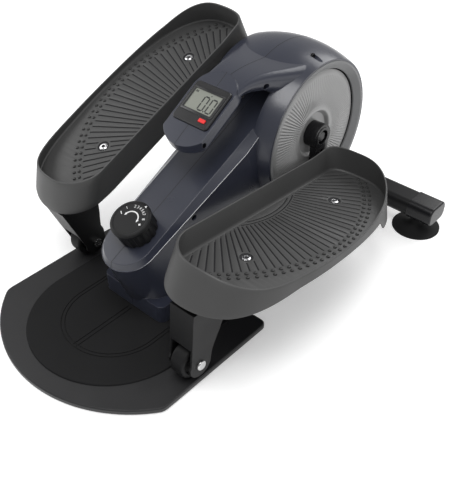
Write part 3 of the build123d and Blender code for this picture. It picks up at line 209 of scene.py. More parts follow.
@dataclass(frozen=True)
class Finish:
    """A procedural finish.

    Attributes:
        slot: Material slot of the record that it stands for, or its own name.
        colour: Linear base colour.
        rough: Mean roughness.
        metal: 1 for bare metal.
        grain: Surface texture.
        edge: Radius in mm by which corners catch the light.
        coat: Clear coat over the colour.
        fade: How far the colour drifts over the surface.
        shine: Strength of the plain reflection.
    """

    slot: str
    colour: Point3
    rough: float
    metal: float = 0.0
    grain: Grain = Grain.MOULDED
    edge: float = 0.6
    coat: float = 0.0
    fade: float = 0.06
    shine: float = 0.5

    def build(self) -> bpy.types.Material:
        """Makes the node material.

        Returns:
            The material, named after its slot.
        """
        material = bpy.data.materials.new(self.slot)
        material.use_nodes = True
        tree = material.node_tree
        where = node(tree, "TexCoord").outputs["Object"]
        # the colour drifts gently over the surface
        cloud = node(tree, "TexNoise", Vector=where, Scale=9.0, Detail=3.0)
        drift = node(tree, "ValToRGB", Fac=cloud.outputs["Fac"])
        low, high = drift.color_ramp.elements
        low.position, high.position = 0.3, 0.7
        low.color = (*[c * (1 - self.fade) for c in self.colour], 1)
        high.color = (*[min(1.0, c * (1 + self.fade)) for c in self.colour], 1)
        # the roughness varies, as handling and moulding make it
        smear = node(tree, "TexNoise", Vector=where, Scale=34.0, Detail=0.0)
        spread = node(tree, "MapRange", Value=smear.outputs["Fac"], From_Min=0.1, From_Max=0.9)
        fill(spread, To_Min=self.rough * 0.88, To_Max=min(1.0, self.rough * 1.12))
        # the grain lies over corners that are softly broken
        cells, depth = self.grain.value
        speck = node(tree, "TexNoise", Vector=where, Scale=cells, Detail=2.0)
        corner = node(tree, "Bevel", Radius=self.edge * MM)
        corner.samples = 6
        bump = node(tree, "Bump", Strength=0.6, Distance=depth * MM)
        fill(bump, Height=speck.outputs["Fac"], Normal=corner.outputs["Normal"])
        shader = tree.nodes["Principled BSDF"]
        fill(shader, Base_Color=drift.outputs["Color"], Roughness=spread.outputs["Result"])
        fill(shader, Normal=bump.outputs["Normal"], Metallic=self.metal)
        fill(shader, Specular_IOR_Level=self.shine, Coat_Weight=self.coat, Coat_Roughness=0.18)
        return material


FINISHES: tuple[Finish, ...] = (
    Finish("housing", (0.026, 0.029, 0.044), 0.3, coat=0.3, grain=Grain.POLISHED, edge=1.3),
    Finish("tray", (0.050, 0.050, 0.050), 0.5, edge=0.8),
    Finish("beam_black", (0.010, 0.010, 0.0105), 0.42, grain=Grain.POWDER, edge=0.9, shine=0.2),
    Finish("frame_black", (0.008, 0.008, 0.0085), 0.36, grain=Grain.POWDER, edge=0.9, shine=0.15),
    Finish("steel", (0.58, 0.58, 0.58), 0.26, metal=1.0, grain=Grain.TURNED, edge=0.3),
    Finish("chrome_bits", (0.75, 0.75, 0.76), 0.1, metal=1.0, grain=Grain.POLISHED, edge=0.3),
    Finish("disc_silver", (0.34, 0.34, 0.34), 0.42, metal=0.35, grain=Grain.TURNED, edge=0.5),
    Finish("ring_grey", (0.17, 0.172, 0.176), 0.4, edge=0.6),
    Finish("roller_black", (0.007, 0.007, 0.0075), 0.55, grain=Grain.SOFT, shine=0.2),
    Finish("soft_black", (0.010, 0.010, 0.0105), 0.6, grain=Grain.SOFT, edge=0.5, shine=0.15),
    Finish("plate_grey", (0.014, 0.014, 0.015), 0.45, grain=Grain.POWDER, edge=0.8),
    Finish("cap_black", (0.007, 0.007, 0.008), 0.24, grain=Grain.POLISHED, edge=1.0, shine=0.3),
    Finish("knob_black", (0.007, 0.007, 0.0075), 0.42, shine=0.25),
    Finish("meter_black", (0.012, 0.012, 0.013), 0.3, grain=Grain.POLISHED, edge=0.5),
    Finish("lcd", (0.215, 0.225, 0.195), 0.3, grain=Grain.POLISHED, edge=0.2, coat=0.3, fade=0.03),
    Finish("button_red", (0.72, 0.022, 0.022), 0.4, edge=0.4),
    Finish("pulley_plastic", (0.10, 0.10, 0.11), 0.5),
    Finish("cast", (0.16, 0.16, 0.17), 0.5, metal=0.6, grain=Grain.CAST),
    Finish("bush_plastic", (0.7, 0.7, 0.66), 0.45),
)
REFINISHED: dict[str, str] = {
    "housing_screws": "cap_black", "crank_bolt_left": "cap_black", "crank_bolt_right": "cap_black",
    "crank_arm_left": "cap_black", "crank_arm_right": "cap_black",
    "tray_screws_left": "chrome_bits", "tray_screws_right": "chrome_bits",
}
# Painted shade: the studs' finish is darker than the tray's, so that they stand out as if shaded.
SHADED_STUD = Finish("tread_stud", (0.022, 0.022, 0.022), 0.4, edge=0.4)
PRINT = Finish("dial_print", (0.72, 0.72, 0.72), 0.5, grain=Grain.POLISHED, edge=0.1)
INK = Finish("display_ink", (0.012, 0.014, 0.012), 0.35, grain=Grain.POLISHED, edge=0.1)
# Painted shade: near-black finish for the flat disc that stands for the console's sunk screw hole.
WELL_SHADE = Finish("well_dark", (0.003, 0.003, 0.004), 0.9, edge=0.1, shine=0.0)
# Painted highlight: the bead is real relief, but its colour is lighter than the housing's so it
# reads as a bright line along the crease.
BEAD_HIGHLIGHT = Finish(
    "casing_bead", (0.052, 0.056, 0.075), 0.2, coat=0.9, grain=Grain.POLISHED, edge=0.2, shine=0.9
)
# Dark finish for the seam between the housing halves, also used as painted shade on the tray's
# screw wells and under its grooves.
SHADOW_LINE = Finish("parting_line", (0.008, 0.008, 0.01), 0.7, edge=0.1)


@dataclass
class Workshop:
    """Makes meshes and puts finishes on them.

    Attributes:
        store: Material of each finish, by its slot or its own name.
    """

    store: dict[str, bpy.types.Material] = field(default_factory=dict)

    def stock(self) -> None:
        """Makes every finish once."""
        for finish in (*FINISHES, PRINT, INK, SHADOW_LINE, SHADED_STUD, BEAD_HIGHLIGHT, WELL_SHADE):
            self.store[finish.slot] = finish.build()

    def mesh(
        self, name: str, points: Sequence[Point3], faces: Iterable[Sequence[int]],
        angle: float = 32.0,
    ) -> bpy.types.Object:
        """Makes an object from points in millimetres.

        Args:
            name: The object's name.
            points: Corners, in millimetres.
            faces: Corner numbers of each face.
            angle: Corners over this many degrees stay sharp.

        Returns:
            The linked object.
        """
        data = bpy.data.meshes.new(name)
        data.from_pydata([(x * MM, y * MM, z * MM) for x, y, z in points], [], list(faces))
        data.validate()
        return self.smooth(name, data, angle)

    def smooth(self, name: str, data: bpy.types.Mesh, angle: float = 32.0) -> bpy.types.Object:
        """Links a mesh with its faces outward and all but its sharp corners smooth.

        Args:
            name: The object's name.
            data: The mesh.
            angle: Corners over this many degrees stay sharp.

        Returns:
            The linked object.
        """
        shape = bmesh.new()
        shape.from_mesh(data)
        bmesh.ops.remove_doubles(shape, verts=shape.verts, dist=1e-6)
        bmesh.ops.recalc_face_normals(shape, faces=shape.faces)
        shape.to_mesh(data)
        shape.free()
        data.shade_smooth()
        data.set_sharp_from_angle(angle=math.radians(angle))
        return linked(name, data)

    def sheet(
        self, name: str, loops: Sequence[Sequence[Point2]], low: float, high: float, round_by: float
    ) -> bpy.types.Object:
        """Makes a flat sheet with holes from closed outlines.

        Args:
            name: The object's name.
            loops: Closed outlines in millimetres, the holes among them.
            low: Under side.
            high: Upper side.
            round_by: Radius of the broken edges.

        Returns:
            The linked object.
        """
        curve = bpy.data.curves.new(name, "CURVE")
        curve.dimensions = "2D"
        curve.fill_mode = "BOTH"
        curve.extrude = (high - low - 2 * round_by) / 2 * MM
        curve.bevel_depth = round_by * MM
        curve.bevel_resolution = 1
        curve.offset = -round_by * MM
        for loop in loops:
            draw(curve, [(x, y, 0) for x, y in loop]).use_cyclic_u = True
        data = meshed(name, curve)
        data.transform(Matrix.Translation((0, 0, (low + high) / 2 * MM)))
        return self.smooth(name, data)

    def rod(self, name: str, points: Sequence[Point3], radius: float) -> bpy.types.Object:
        """Makes a thin round rod along a path.

        Args:
            name: The object's name.
            points: The path, in millimetres.
            radius: Radius of the rod.

        Returns:
            The linked object.
        """
        curve = bpy.data.curves.new(name, "CURVE")
        curve.dimensions = "3D"
        curve.bevel_depth = radius * MM
        curve.bevel_resolution = 2
        curve.use_fill_caps = True
        draw(curve, points)
        return self.smooth(name, meshed(name, curve))

    def coat(self, piece: bpy.types.Object, name: str) -> None:
        """Gives a piece one material of the store."""
        piece.data.materials.clear()
        piece.data.materials.append(self.store[name])

    def place(
        self, piece: bpy.types.Object, body: str, slot: str, finish: Finish | None = None
    ) -> None:
        """Gives a piece its finish and lets it ride on a body.

        Args:
            piece: The piece, in the machine's frame.
            body: The body that carries it.
            slot: Its record slot.
            finish: A finish to use in place of the slot's own.
        """
        self.coat(piece, finish.slot if finish else slot)
        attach(piece, body)

    def mark(self, piece: bpy.types.Object, body: str, finish: Finish) -> None:
        """Gives a print or a shade its ink and lets it ride on a body.

        Args:
            piece: The piece, in the machine's frame.
            body: The body that carries it.
            finish: Its ink.
        """
        self.coat(piece, finish.slot)
        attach(piece, body)

    def dress_nodes(self, frame: dict) -> None:
        """Puts each carried-over node in its own finish.
        """
        wanted = {part["node"]: part["material_slot"] for part in frame["record"]["subparts"]}
        wanted.update(REFINISHED)
        for name, carried in frame["nodes"].items():
            self.coat(carried, wanted[name])
            for polygon in carried.data.polygons:
                polygon.material_index = 0


def bezier(a: Point2, b: Point2, c: Point2, d: Point2, steps: int) -> list[Point2]:
    """Samples a cubic curve, leaving out its last point.

    Args:
        a: Start.
        b: First handle.
        c: Second handle.
        d: End.
        steps: Number of points.

    Returns:
        The points.
    """
    line = []
    for index in range(steps):
        t = index / steps
        w = ((1 - t) ** 3, 3 * t * (1 - t) ** 2, 3 * t * t * (1 - t), t**3)
        line.append(tuple(sum(k * p[i] for k, p in zip(w, (a, b, c, d))) for i in (0, 1)))
    return line


@dataclass
class SubAssembly:
    """A part of the machine that makes its own pieces.

    Attributes:
        shop: Where meshes are made.
    """

    shop: Workshop


@dataclass
class FootTray(SubAssembly):
    """A rimmed foot tray with its fan-grooved tread, drawn from its pedal pin.

    Heights are over the pedal pin, and lengths run from it along the tray.

    Attributes:
        side: Side of the machine.
        pin: Pedal pin, y and z in the machine's frame.
        pitch: Pitch at rest, in degrees.
        inner_x: Inner side at the rim.
        outer_x: Outer side at the rim.
        toe: Front end at the rim.
        heel: Rear end at the rim.
        flare: How far the heel reaches further back at the foot of its wall.
        heel_rise: How much higher the foot of the heel's wall ends.
        bulge: Height under which the heel tucks in again.
        tuck: How far it tucks in for each millimetre.
        rim: Height of the rim.
        dip: How far the rim sweeps down on the outer side.
        sweep: Width over which it does.
        toe_rise: How much higher the rim is at the toe.
        middle_x: Line of the beam.
        skirt: Lower edge of the walls.
        lip: Lower edge of the outer wall between toe and heel.
        deep: Lower edge of the toe's wall.
        toe_climb: How far that edge climbs to its outer corner.
        floor: Upper face of the floor.
        floor_thick: Thickness of the floor.
        wall: Thickness of the walls.
        tread_thick: Thickness of the tread.
        fan: Centre of the fan of grooves.
        fan_step: Angle between two grooves, in degrees.
        fan_reach: Nearest and furthest end of a groove from the fan's centre.
        fan_gap: Clear width between the inner wall and the fan.
        groove: Half width of a groove.
        arcs: Radii of the two arcs across the fan.
        arc_half: Half width of an arc.
        stud_rows: Radii of the two rows of studs.
        stud: Radius of a stud and height over the tread, up its side.
        web: Reach of a web from the middle plane and its depth there.
        web_half: Half its thickness.
        well: Radius of a screw's well.
        head: Radius of a screw's head and height over the floor, up its side.
        screws: Centres of the screws.
    """

    side: Side
    pin: Point2
    pitch: float
    inner_x: float = 77.0
    outer_x: float = 219.5
    toe: float = 27.0
    heel: float = -332.5
    flare: float = 30.0
    heel_rise: float = 6.0
    bulge: float = 12.0
    tuck: float = 0.75
    rim: float = 52.5
    dip: float = 25.0
    sweep: float = 83.0
    toe_rise: float = 7.0
    middle_x: float = 139.0
    skirt: float = 4.0
    lip: float = 16.0
    deep: float = -17.0
    toe_climb: float = 16.0
    floor: float = 18.7
    floor_thick: float = 3.0
    wall: float = 2.6
    tread_thick: float = 1.2
    fan: Point2 = (-6.0, -139.0)
    fan_step: float = 3.0
    fan_reach: Point2 = (113.5, 205.0)
    fan_gap: float = 8.5
    groove: float = 0.95
    arcs: Point2 = (104.5, 110.0)
    arc_half: float = 0.8
    stud_rows: Point2 = (210.5, 218.0)
    stud: tuple[Point2, ...] = ((2.6, -0.1), (2.4, 0.8), (1.7, 1.6), (0.7, 1.9))
    web: tuple[Point2, ...] = ((159.4, 17.0), (184.0, 8.0), (207.0, 1.5))
    web_half: float = 1.1
    well: float = 8.6
    head: tuple[Point2, ...] = (
        (5.9, 0.3), (5.7, 0.9), (4.9, 1.35), (3.8, 1.55), (2.9, 1.5), (2.7, 1.2), (2.6, 0.5)
    )
    screws: tuple[Point2, ...] = ((139.0, -52.3), (139.0, -241.7))

    def outline(self, level: float, inset: float) -> list[Point2]:
        """Outline of the side walls at a level.

        Args:
            level: Height over the pin.
            inset: Distance in from the outer face.

        Returns:
            Points once round the tray.
        """
        down = (self.rim - level) / (self.rim - self.skirt)
        inner = self.inner_x + 6.0 * down + inset
        outer = self.outer_x + 6.5 * down - inset
        toe = self.toe + 8.0 * down - inset
        heel = self.heel - self.flare * down + self.tuck * max(0.0, self.bulge - level) + inset
        width = outer - inner
        tip, back = (inner + 0.36 * width, toe), (inner + 0.38 * width, heel)
        widest, corner = (outer, heel + 183), (inner + 0.96 * width, heel + 93)
        start, end = (inner, heel + 48), (inner, toe - 24)
        line = [(inner, start[1] + (end[1] - start[1]) * index / 26) for index in range(26)]
        line += bezier(end, (inner, toe - 4), (inner + 0.12 * width, toe), tip, 18)
        line += bezier(tip, (inner + 0.88 * width, toe), (outer, toe - 88), widest, 34)
        line += bezier(widest, (outer, heel + 153), (inner + 0.984 * width, heel + 128), corner, 12)
        line += bezier(
            corner, (inner + 0.905 * width, heel + 21), (inner + 0.67 * width, heel), back, 26
        )
        line += bezier(back, (inner + 0.19 * width, heel), (inner, heel + 21), start, 18)
        return line

    def tread_edge(self, inset: float) -> list[Point2]:
        """Outline at the tread's level, in from the inner face of the walls."""
        return self.outline(self.floor + 1, self.wall + inset)

    def under_edge(self, x: float, y: float) -> float:
        """Lower edge of the wall at a point of the outline.

        Args:
            x: Across the tray.
            y: Along the tray.

        Returns:
            Height over the pin.
        """
        if x > self.middle_x + 23 and y < -32:
            if y > -44:
                return self.lip - part_way(y, -44, 12) * (self.lip - self.toe_edge(x))
            start = self.skirt + self.heel_rise
            return start + part_way(y, -335, 95) * (self.lip - start)
        rise = self.heel_rise * part_way(-y, 290, 45)
        return self.skirt + rise - part_way(y, -48, 12) * (self.skirt - self.toe_edge(x))

    def toe_edge(self, x: float) -> float:
        """Lower edge of the toe wall, which rises to its outer corner."""
        return self.deep + self.toe_climb * part_way(x, self.middle_x + 23, 50)

    def rim_height(self, x: float, y: float) -> float:
        """Height of the rim: swept down to the outer side, raised at the toe.

        Args:
            x: Across the tray.
            y: Along the tray.

        Returns:
            Height over the pin.
        """
        sweep = self.dip * (max(0.0, x - self.middle_x) / self.sweep) ** 2
        return self.rim - sweep + self.toe_rise * part_way(y, -25, 60)

    def ring(self, levels: Sequence[float], inset: float) -> list[Point3]:
        """The outline with a level of its own for each point.

        Args:
            levels: Heights over the pin.
            inset: Distance in from the outer face.

        Returns:
            Points once round the tray.
        """
        return [(*self.outline(level, inset)[k], level) for k, level in enumerate(levels)]

    def rings(self) -> list[list[Point3]]:
        """Closed rings from under the floor, round the rim, to the floor.

        Returns:
            Rings of equal length, each point with its own height.
        """
        under = self.floor - self.floor_thick
        # share of the wall's height, rise over that and distance in from its face
        wall = (
            (0.0, 0.0, self.wall), (0.0, 0.0, 0.8), (0.0, 0.7, 0.1),
            *[(share, 0.0, 0.0) for share in (0.1, 0.2, 0.4, 0.6, 0.8)],
            (1.0, -1.2, 0.0), (1.0, -0.35, 0.3), (1.0, 0.0, 0.9), (1.0, 0.0, 1.7),
            (1.0, -0.35, 2.3), (1.0, -1.2, self.wall),
        )
        flat = self.outline(40.0, 0)
        foot = self.outline(self.bulge, 0)
        edges = [self.under_edge(x, y) for x, y in foot]
        tops = [self.rim_height(x, y) for x, y in flat]
        rings = [[(x, y, under) for x, y in self.outline(under, self.wall + 0.1)]]
        for share, lift, inset in wall:
            levels = [edge + (top - edge) * share + lift for edge, top in zip(edges, tops)]
            rings.append(self.ring(levels, inset))
        # a rounded corner down to the floor
        for lift, inset in ((5.0, 0.3), (2.6, 0.9), (0.8, 2.6), (0.0, 5.6)):
            levels = [self.floor + min(lift, (top - self.floor) * 0.6) for top in tops]
            rings.append(self.ring(levels, self.wall + inset))
        return rings

    def shell(self) -> bpy.types.Object:
        """Makes the walls, the rim and the floor as one closed shape.

        Returns:
            The shell, in the tray's own frame.
        """
        rings = self.rings()
        points = [point for ring in rings for point in ring]
        faces = bands(0, len(rings), len(rings[0]), capped=True)
        return self.shop.mesh(f"tray_shell_{self.side.word}", points, faces)

    def grooves(self) -> list[list[Point2]]:
        """Outlines of the fan grooves, which point at one centre, and of two arcs.

        Returns:
            Closed outlines.
        """
        centre = Vector(self.fan)
        loops: list[list[Point2]] = []
        bound = self.tread_edge(5.5)
        wall_x = self.inner_x + self.wall + self.fan_gap
        for step in range(-21, 22):
            along = Vector(polar(1, math.radians(self.fan_step * step)))
            near, far = self.fan_reach
            near = max(near, (wall_x - centre.x) / along.x)
            while far > near + 12 and not inside(tuple(centre + along * far), bound):
                far -= 2.0
            if far - near < 14:
                continue
            aside = Vector((-along.y, along.x)) * self.groove
            loop: list[Point2] = []
            for reach, turn in ((near, 1), (far, -1)):
                middle = centre + along * reach
                for k in range(5):
                    bend = math.pi * (k / 4)
                    spot = middle + aside * math.cos(bend) * turn
                    spot = spot - along * math.sin(bend) * self.groove * turn
                    loop.append((spot.x, spot.y))
            loops += self.split_at_wells(loop, along)
        for radius in self.arcs:
            half = math.acos((wall_x - centre.x) / radius) - 0.02
            turns = [-half + 2 * half * k / 30 for k in range(31)]
            outer = [polar(radius + self.arc_half, turn) for turn in turns]
            inner = [polar(radius - self.arc_half, turn) for turn in reversed(turns)]
            loops.append([(centre.x + x, centre.y + y) for x, y in outer + inner])
        return loops

    def split_at_wells(self, loop: list[Point2], along: Vector) -> list[list[Point2]]:
        """Breaks a groove where a screw well crosses it.

        Args:
            loop: The groove's outline, near end first.
            along: Its direction.

        Returns:
            One outline, or two shorter ones.
        """
        near, far = Vector(loop[2]), Vector(loop[7])
        for screw in self.screws:
            spot = Vector(screw)
            reach = (spot - near).dot(along)
            miss = (spot - near - along * reach).length
            clear = self.well + 1.6
            if 0 < reach < (far - near).length and miss < clear + 0.5:
                half = math.sqrt(max(0.0, (clear + 1) ** 2 - miss**2))
                back = along * ((far - near).length - reach + half)
                ahead = along * (reach + half)
                first = [tuple(Vector(p) - back) if k > 4 else p for k, p in enumerate(loop)]
                last = [tuple(Vector(p) + ahead) if k < 5 else p for k, p in enumerate(loop)]
                pair = [first] if reach - half > 6 else []
                return pair + ([last] if (far - near).length - reach - half > 6 else [])
        return [loop]

    def tread(self) -> bpy.types.Object:
        """Makes the tread sheet with its grooves and screw wells.

        Returns:
            The sheet, in the tray's own frame.
        """
        loops = [self.tread_edge(2.8)]
        loops += self.grooves()
        loops += [circle(32, self.well, screw) for screw in self.screws]
        top = self.floor + self.tread_thick
        return self.shop.sheet(f"tread_{self.side.word}", loops, self.floor - 0.1, top, 0.25)

    def studs(self) -> bpy.types.Object:
        """Makes two rows of round studs along the outer side of the tread.

        Returns:
            The studs, in the tray's own frame.
        """
        bound = self.tread_edge(5.2)
        spots = []
        for radius in self.stud_rows:
            for step in range(-21, 21):
                x, y = polar(radius, math.radians(self.fan_step * (step + 0.5)))
                spot = (self.fan[0] + x, self.fan[1] + y)
                if inside(spot, bound):
                    spots.append(spot)
        profile = [(size, self.tread_thick + lift) for size, lift in self.stud]
        return self.turned("tread_studs", spots, profile, 12, capped=True)

    def turned(
        self, name: str, spots: Sequence[Point2], profile: Sequence[Point2],
        count: int = 32, capped: bool = False,
    ) -> bpy.types.Object:
        """Turns a profile round each of some upright axes.

        Args:
            name: The piece's name, before its side.
            spots: Where the axes stand.
            profile: Radius and height over the floor, outermost first.
            count: Points round each axis.
            capped: Whether the shapes are closed above and below.

        Returns:
            The turned shapes, in the tray's own frame.
        """
        points: list[Point3] = []
        faces: Faces = []
        for spot in spots:
            faces += bands(len(points), len(profile), count, capped)
            for size, over in profile:
                points += [(x, y, self.floor + over) for x, y in circle(count, size, spot)]
        return self.shop.mesh(f"{name}_{self.side.word}", points, faces)

    def groove_floor(self) -> bpy.types.Object:
        """Makes a dark sheet under the tread: painted shade that shows in the grooves.

        Returns:
            A thin sheet under the tread, in the tray's own frame.
        """
        loops = [self.tread_edge(4.5)]
        name = f"groove_floor_{self.side.word}"
        return self.shop.sheet(name, loops, self.floor + 0.02, self.floor + 0.14, 0.02)

    def webs(self) -> bpy.types.Object:
        """Makes the slanted webs between the beam and the outer lip.

        Returns:
            The webs, in the tray's own frame.
        """
        points: list[Point3] = []
        faces: Faces = []
        under = self.floor - self.floor_thick + 0.4
        for y in range(-240, -69, 34):
            base = len(points)
            for x, drop in self.web:
                for side, down in ((-1, 0), (-1, drop), (1, drop), (1, 0)):
                    points.append((x, y + side * self.web_half, under - down))
            faces += bands(base, len(self.web), 4, capped=True)
        return self.shop.mesh(f"tray_webs_{self.side.word}", points, faces)

    def build(self) -> None:
        """Makes the tray's pieces and puts them on its body."""
        place = (
            Matrix.Translation((0, self.pin[0] * MM, self.pin[1] * MM))
            @ Matrix.Rotation(math.radians(self.pitch), 4, "X")
            @ Matrix.Diagonal((self.side.value, 1, 1, 1))
        )
        body = f"pedal_{self.side.word}"
        shell = self.shell()
        pieces = (shell, self.tread(), self.studs(), self.webs())
        # the studs take a darker finish than the tray, as painted shade
        for piece, finish in zip(pieces, (None, None, SHADED_STUD, None)):
            piece.data.transform(place)
            if self.side is Side.LEFT:
                piece.data.flip_normals()
            self.shop.place(piece, body, "tray", finish)
            LOG.info("made %s", piece.name)
        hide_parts(f"tray_{self.side.word}")
        # painted shade: dark cones in the screw wells and a dark sheet under the grooves stand for
        # the shade in these recesses
        rim = self.well
        well = ((rim - 0.1, 1.05), (rim - 0.6, 0.3), (5.6, 0.25))
        wells = self.turned("screw_wells", self.screws, well)
        for shade in (wells, self.groove_floor()):
            shade.data.transform(place)
            self.shop.mark(shade, body, SHADOW_LINE)
        heads = self.turned("screw_heads", self.screws, self.head)
        heads.data.transform(place)
        self.shop.place(heads, body, "chrome_bits")


def circle(count: int, radius: float, middle: Point2 = (0.0, 0.0)) -> list[Point2]:
    """Points of a circle.

    Args:
        count: How many.
        radius: Its radius.
        middle: Its centre.

    Returns:
        The points.
    """
    spots = [polar(radius, 2 * math.pi * k / count) for k in range(count)]
    return [(middle[0] + x, middle[1] + y) for x, y in spots]


def inside(point: Point2, loop: Sequence[Point2]) -> bool:
    """Tells whether a point lies within a closed outline.

    Args:
        point: The point.
        loop: The outline.

    Returns:
        True if it does.
    """
    x, y = point
    odd = False
    for (x1, y1), (x2, y2) in zip(loop, list(loop[1:]) + [loop[0]]):
        if (y1 > y) != (y2 > y) and x < x1 + (y - y1) / (y2 - y1) * (x2 - x1):
            odd = not odd
    return odd


@dataclass
class RibbedDisc(SubAssembly):
    """A dished disc cover with fine radial ribs, on the crank axis.

    Attributes:
        side: Side of the machine.
        centre: Crank axis, y and z.
        ribs: How many ribs there are.
        per_rib: Steps round the disc in each rib.
        depth: Depth of the grooves between them.
        sharp: Corners over this many degrees stay sharp.
        profile: Height over the middle plane, radius and share of the depth.
    """

    side: Side
    centre: Point2 = (168.0, 166.0)
    ribs: int = 112
    per_rib: int = 6
    depth: float = 0.7
    sharp: float = 24.0
    profile: tuple[Point3, ...] = (
        (51.5, 8.5, 0), (54.0, 8.6, 0), (54.0, 29.5, 0), (54.6, 31.2, 0), (57.2, 33.2, 0),
        (58.9, 34.2, 0), (59.9, 35.8, 0), (60.0, 37.6, 0), (59.9, 40.0, 0.35), (60.3, 46.0, 0.9),
        (60.8, 53.0, 1), (61.2, 60.0, 1), (60.9, 70.0, 1), (60.3, 80.0, 1), (59.8, 86.5, 1),
        (59.6, 87.6, 0.0), (58.6, 92.0, 0), (57.6, 94.6, 0), (56.8, 95.0, 0.0), (56.5, 94.6, 0),
        (58.0, 60.0, 0), (56.6, 37.0, 0), (51.5, 33.0, 0),
    )

    def build(self) -> None:
        """Makes the disc and lets it stand for the plain node."""
        around = self.ribs * self.per_rib
        points: list[Point3] = []
        for step in range(around):
            angle = 2 * math.pi * step / around
            wave = 0.5 - 0.5 * math.cos(2 * math.pi * step / self.per_rib)
            for x, radius, share in self.profile:
                out = (x - self.depth * share * wave) * self.side.value
                y, z = polar(radius, angle)
                points.append((out, self.centre[0] + y, self.centre[1] + z))
        rows = len(self.profile)
        faces = [[k % len(points) for k in face] for face in bands(0, around + 1, rows)]
        disc = self.shop.mesh(f"ribbed_disc_{self.side.word}", points, faces, self.sharp)
        self.shop.place(disc, "crank", "disc_silver")
        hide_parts(f"disc_cover_{self.side.word}")
        LOG.info("made %s", disc.name)


@dataclass(frozen=True)
class FaceFrame:
    """A flat face on the machine with its own two directions.

    Attributes:
        origin: Its origin in the machine's frame, in millimetres.
        slope: Its slope in degrees, about the machine's X.
    """

    origin: Point3
    slope: float

    def matrix(self, up: float = 0.0, out: float = 0.0) -> Matrix:
        """Place of a point on the face's middle line.

        Args:
            up: Up the slope.
            out: Out of the face.

        Returns:
            The placing matrix, in metres.
        """
        lean = math.radians(self.slope)
        y = self.origin[1] + up * math.cos(lean) - out * math.sin(lean)
        z = self.origin[2] + up * math.sin(lean) + out * math.cos(lean)
        place = Matrix.Translation((self.origin[0] * MM, y * MM, z * MM))
        return place @ Matrix.Rotation(lean, 4, "X")


DECK = FaceFrame((0, -154.4, 113.8), 25.0)


@dataclass
class Console(SubAssembly):
    """The display's digits and frame.

    Attributes:
        face: The console's sloping face.
        display: Height of the display over that face.
        digit_height: Height of a digit.
        digit_width: Width of a digit.
        thick: Width of a digit's bars.
        gap: Half the gap between two bars.
        digits: Left edges of the two digits.
        low: Their lower edge.
        signs: Left edge, lower edge, width and height of each small sign.
        rim: Half width, half height and corner of the frame, outside and inside.
        rim_up: Height of the frame's under side over the face.
        middle: How far up the face the frame's middle lies.
    """

    face: FaceFrame = FaceFrame((0, -28.4, 240.5), 32.0)
    display: float = 2.7
    digit_height: float = 22.4
    digit_width: float = 10.0
    thick: float = 2.0
    gap: float = 0.35
    digits: Point2 = (-3.2, 10.0)
    low: float = 21.6
    signs: tuple[tuple[float, float, float, float], ...] = (
        (7.5, 21.8, 1.7, 1.8), (5.4, 45.4, 1.2, 1.8),
        (-20.5, 44.4, 1.6, 3.0), (-18.2, 44.4, 1.6, 3.0),
    )
    rim: tuple[Point3, ...] = ((26.4, 18.8, 2.4), (22.6, 14.9, 1.0))
    rim_up: float = 3.0
    middle: float = 34.7

    def bar(self, start: Point2, end: Point2) -> list[Point2]:
        """A bar with pointed ends.

        Args:
            start: Its one end.
            end: Its other end.

        Returns:
            The outline.
        """
        first, last = Vector(start), Vector(end)
        along = (last - first).normalized() * self.thick / 2
        aside = Vector((-along.y, along.x))
        low, high = (first + along, last - along), (last - along, first + along)
        loop = [first, *[spot - aside for spot in low], last, *[spot + aside for spot in high]]
        return [tuple(spot) for spot in loop]

    def nought(self, left: float) -> list[list[Point2]]:
        """Bars of a nought, as six closed outlines.

        Args:
            left: Left edge.

        Returns:
            The bars' outlines.
        """
        half, low = self.thick / 2, self.low
        inner, end = half + self.gap, self.digit_height
        bars = []
        for x in (left + half, left + self.digit_width - half):
            for y0, y1 in ((inner, end / 2 - self.gap), (end / 2 + self.gap, end - inner)):
                bars.append(self.bar((x, low + y0), (x, low + y1)))
        for y in (low + half, low + end - half):
            bars.append(self.bar((left + inner, y), (left + self.digit_width - inner, y)))
        return bars

    def build(self) -> None:
        """Makes the digits and the display's frame."""
        loops = [bar for left in self.digits for bar in self.nought(left)]
        for x, y, wide, high in self.signs:
            loops.append([(x, y), (x + wide, y), (x + wide, y + high), (x, y + high)])
        ink = self.shop.sheet("display_digits", loops, 0.0, 0.12, 0.02)
        ink.data.transform(self.face.matrix(out=self.display))
        self.shop.mark(ink, "base", INK)
        rims = [self.rounded(*size) for size in self.rim]
        frame = self.shop.sheet("display_frame", rims, 0.0, 0.7, 0.2)
        frame.data.transform(self.face.matrix(out=self.rim_up))
        self.shop.place(frame, "base", "meter_black")
        LOG.info("made the console's print")

    def rounded(self, half_x: float, half_y: float, corner: float) -> list[Point2]:
        """A rounded rectangle about the display's middle.

        Args:
            half_x: Half its width.
            half_y: Half its height.
            corner: Corner radius.

        Returns:
            The outline.
        """
        loop = []
        for quarter, (sx, sy) in enumerate(((1, 1), (-1, 1), (-1, -1), (1, -1))):
            for k in range(7):
                x, y = polar(corner, math.pi / 2 * (quarter + k / 6))
                loop.append((sx * (half_x - corner) + x, self.middle + sy * (half_y - corner) + y))
        return loop


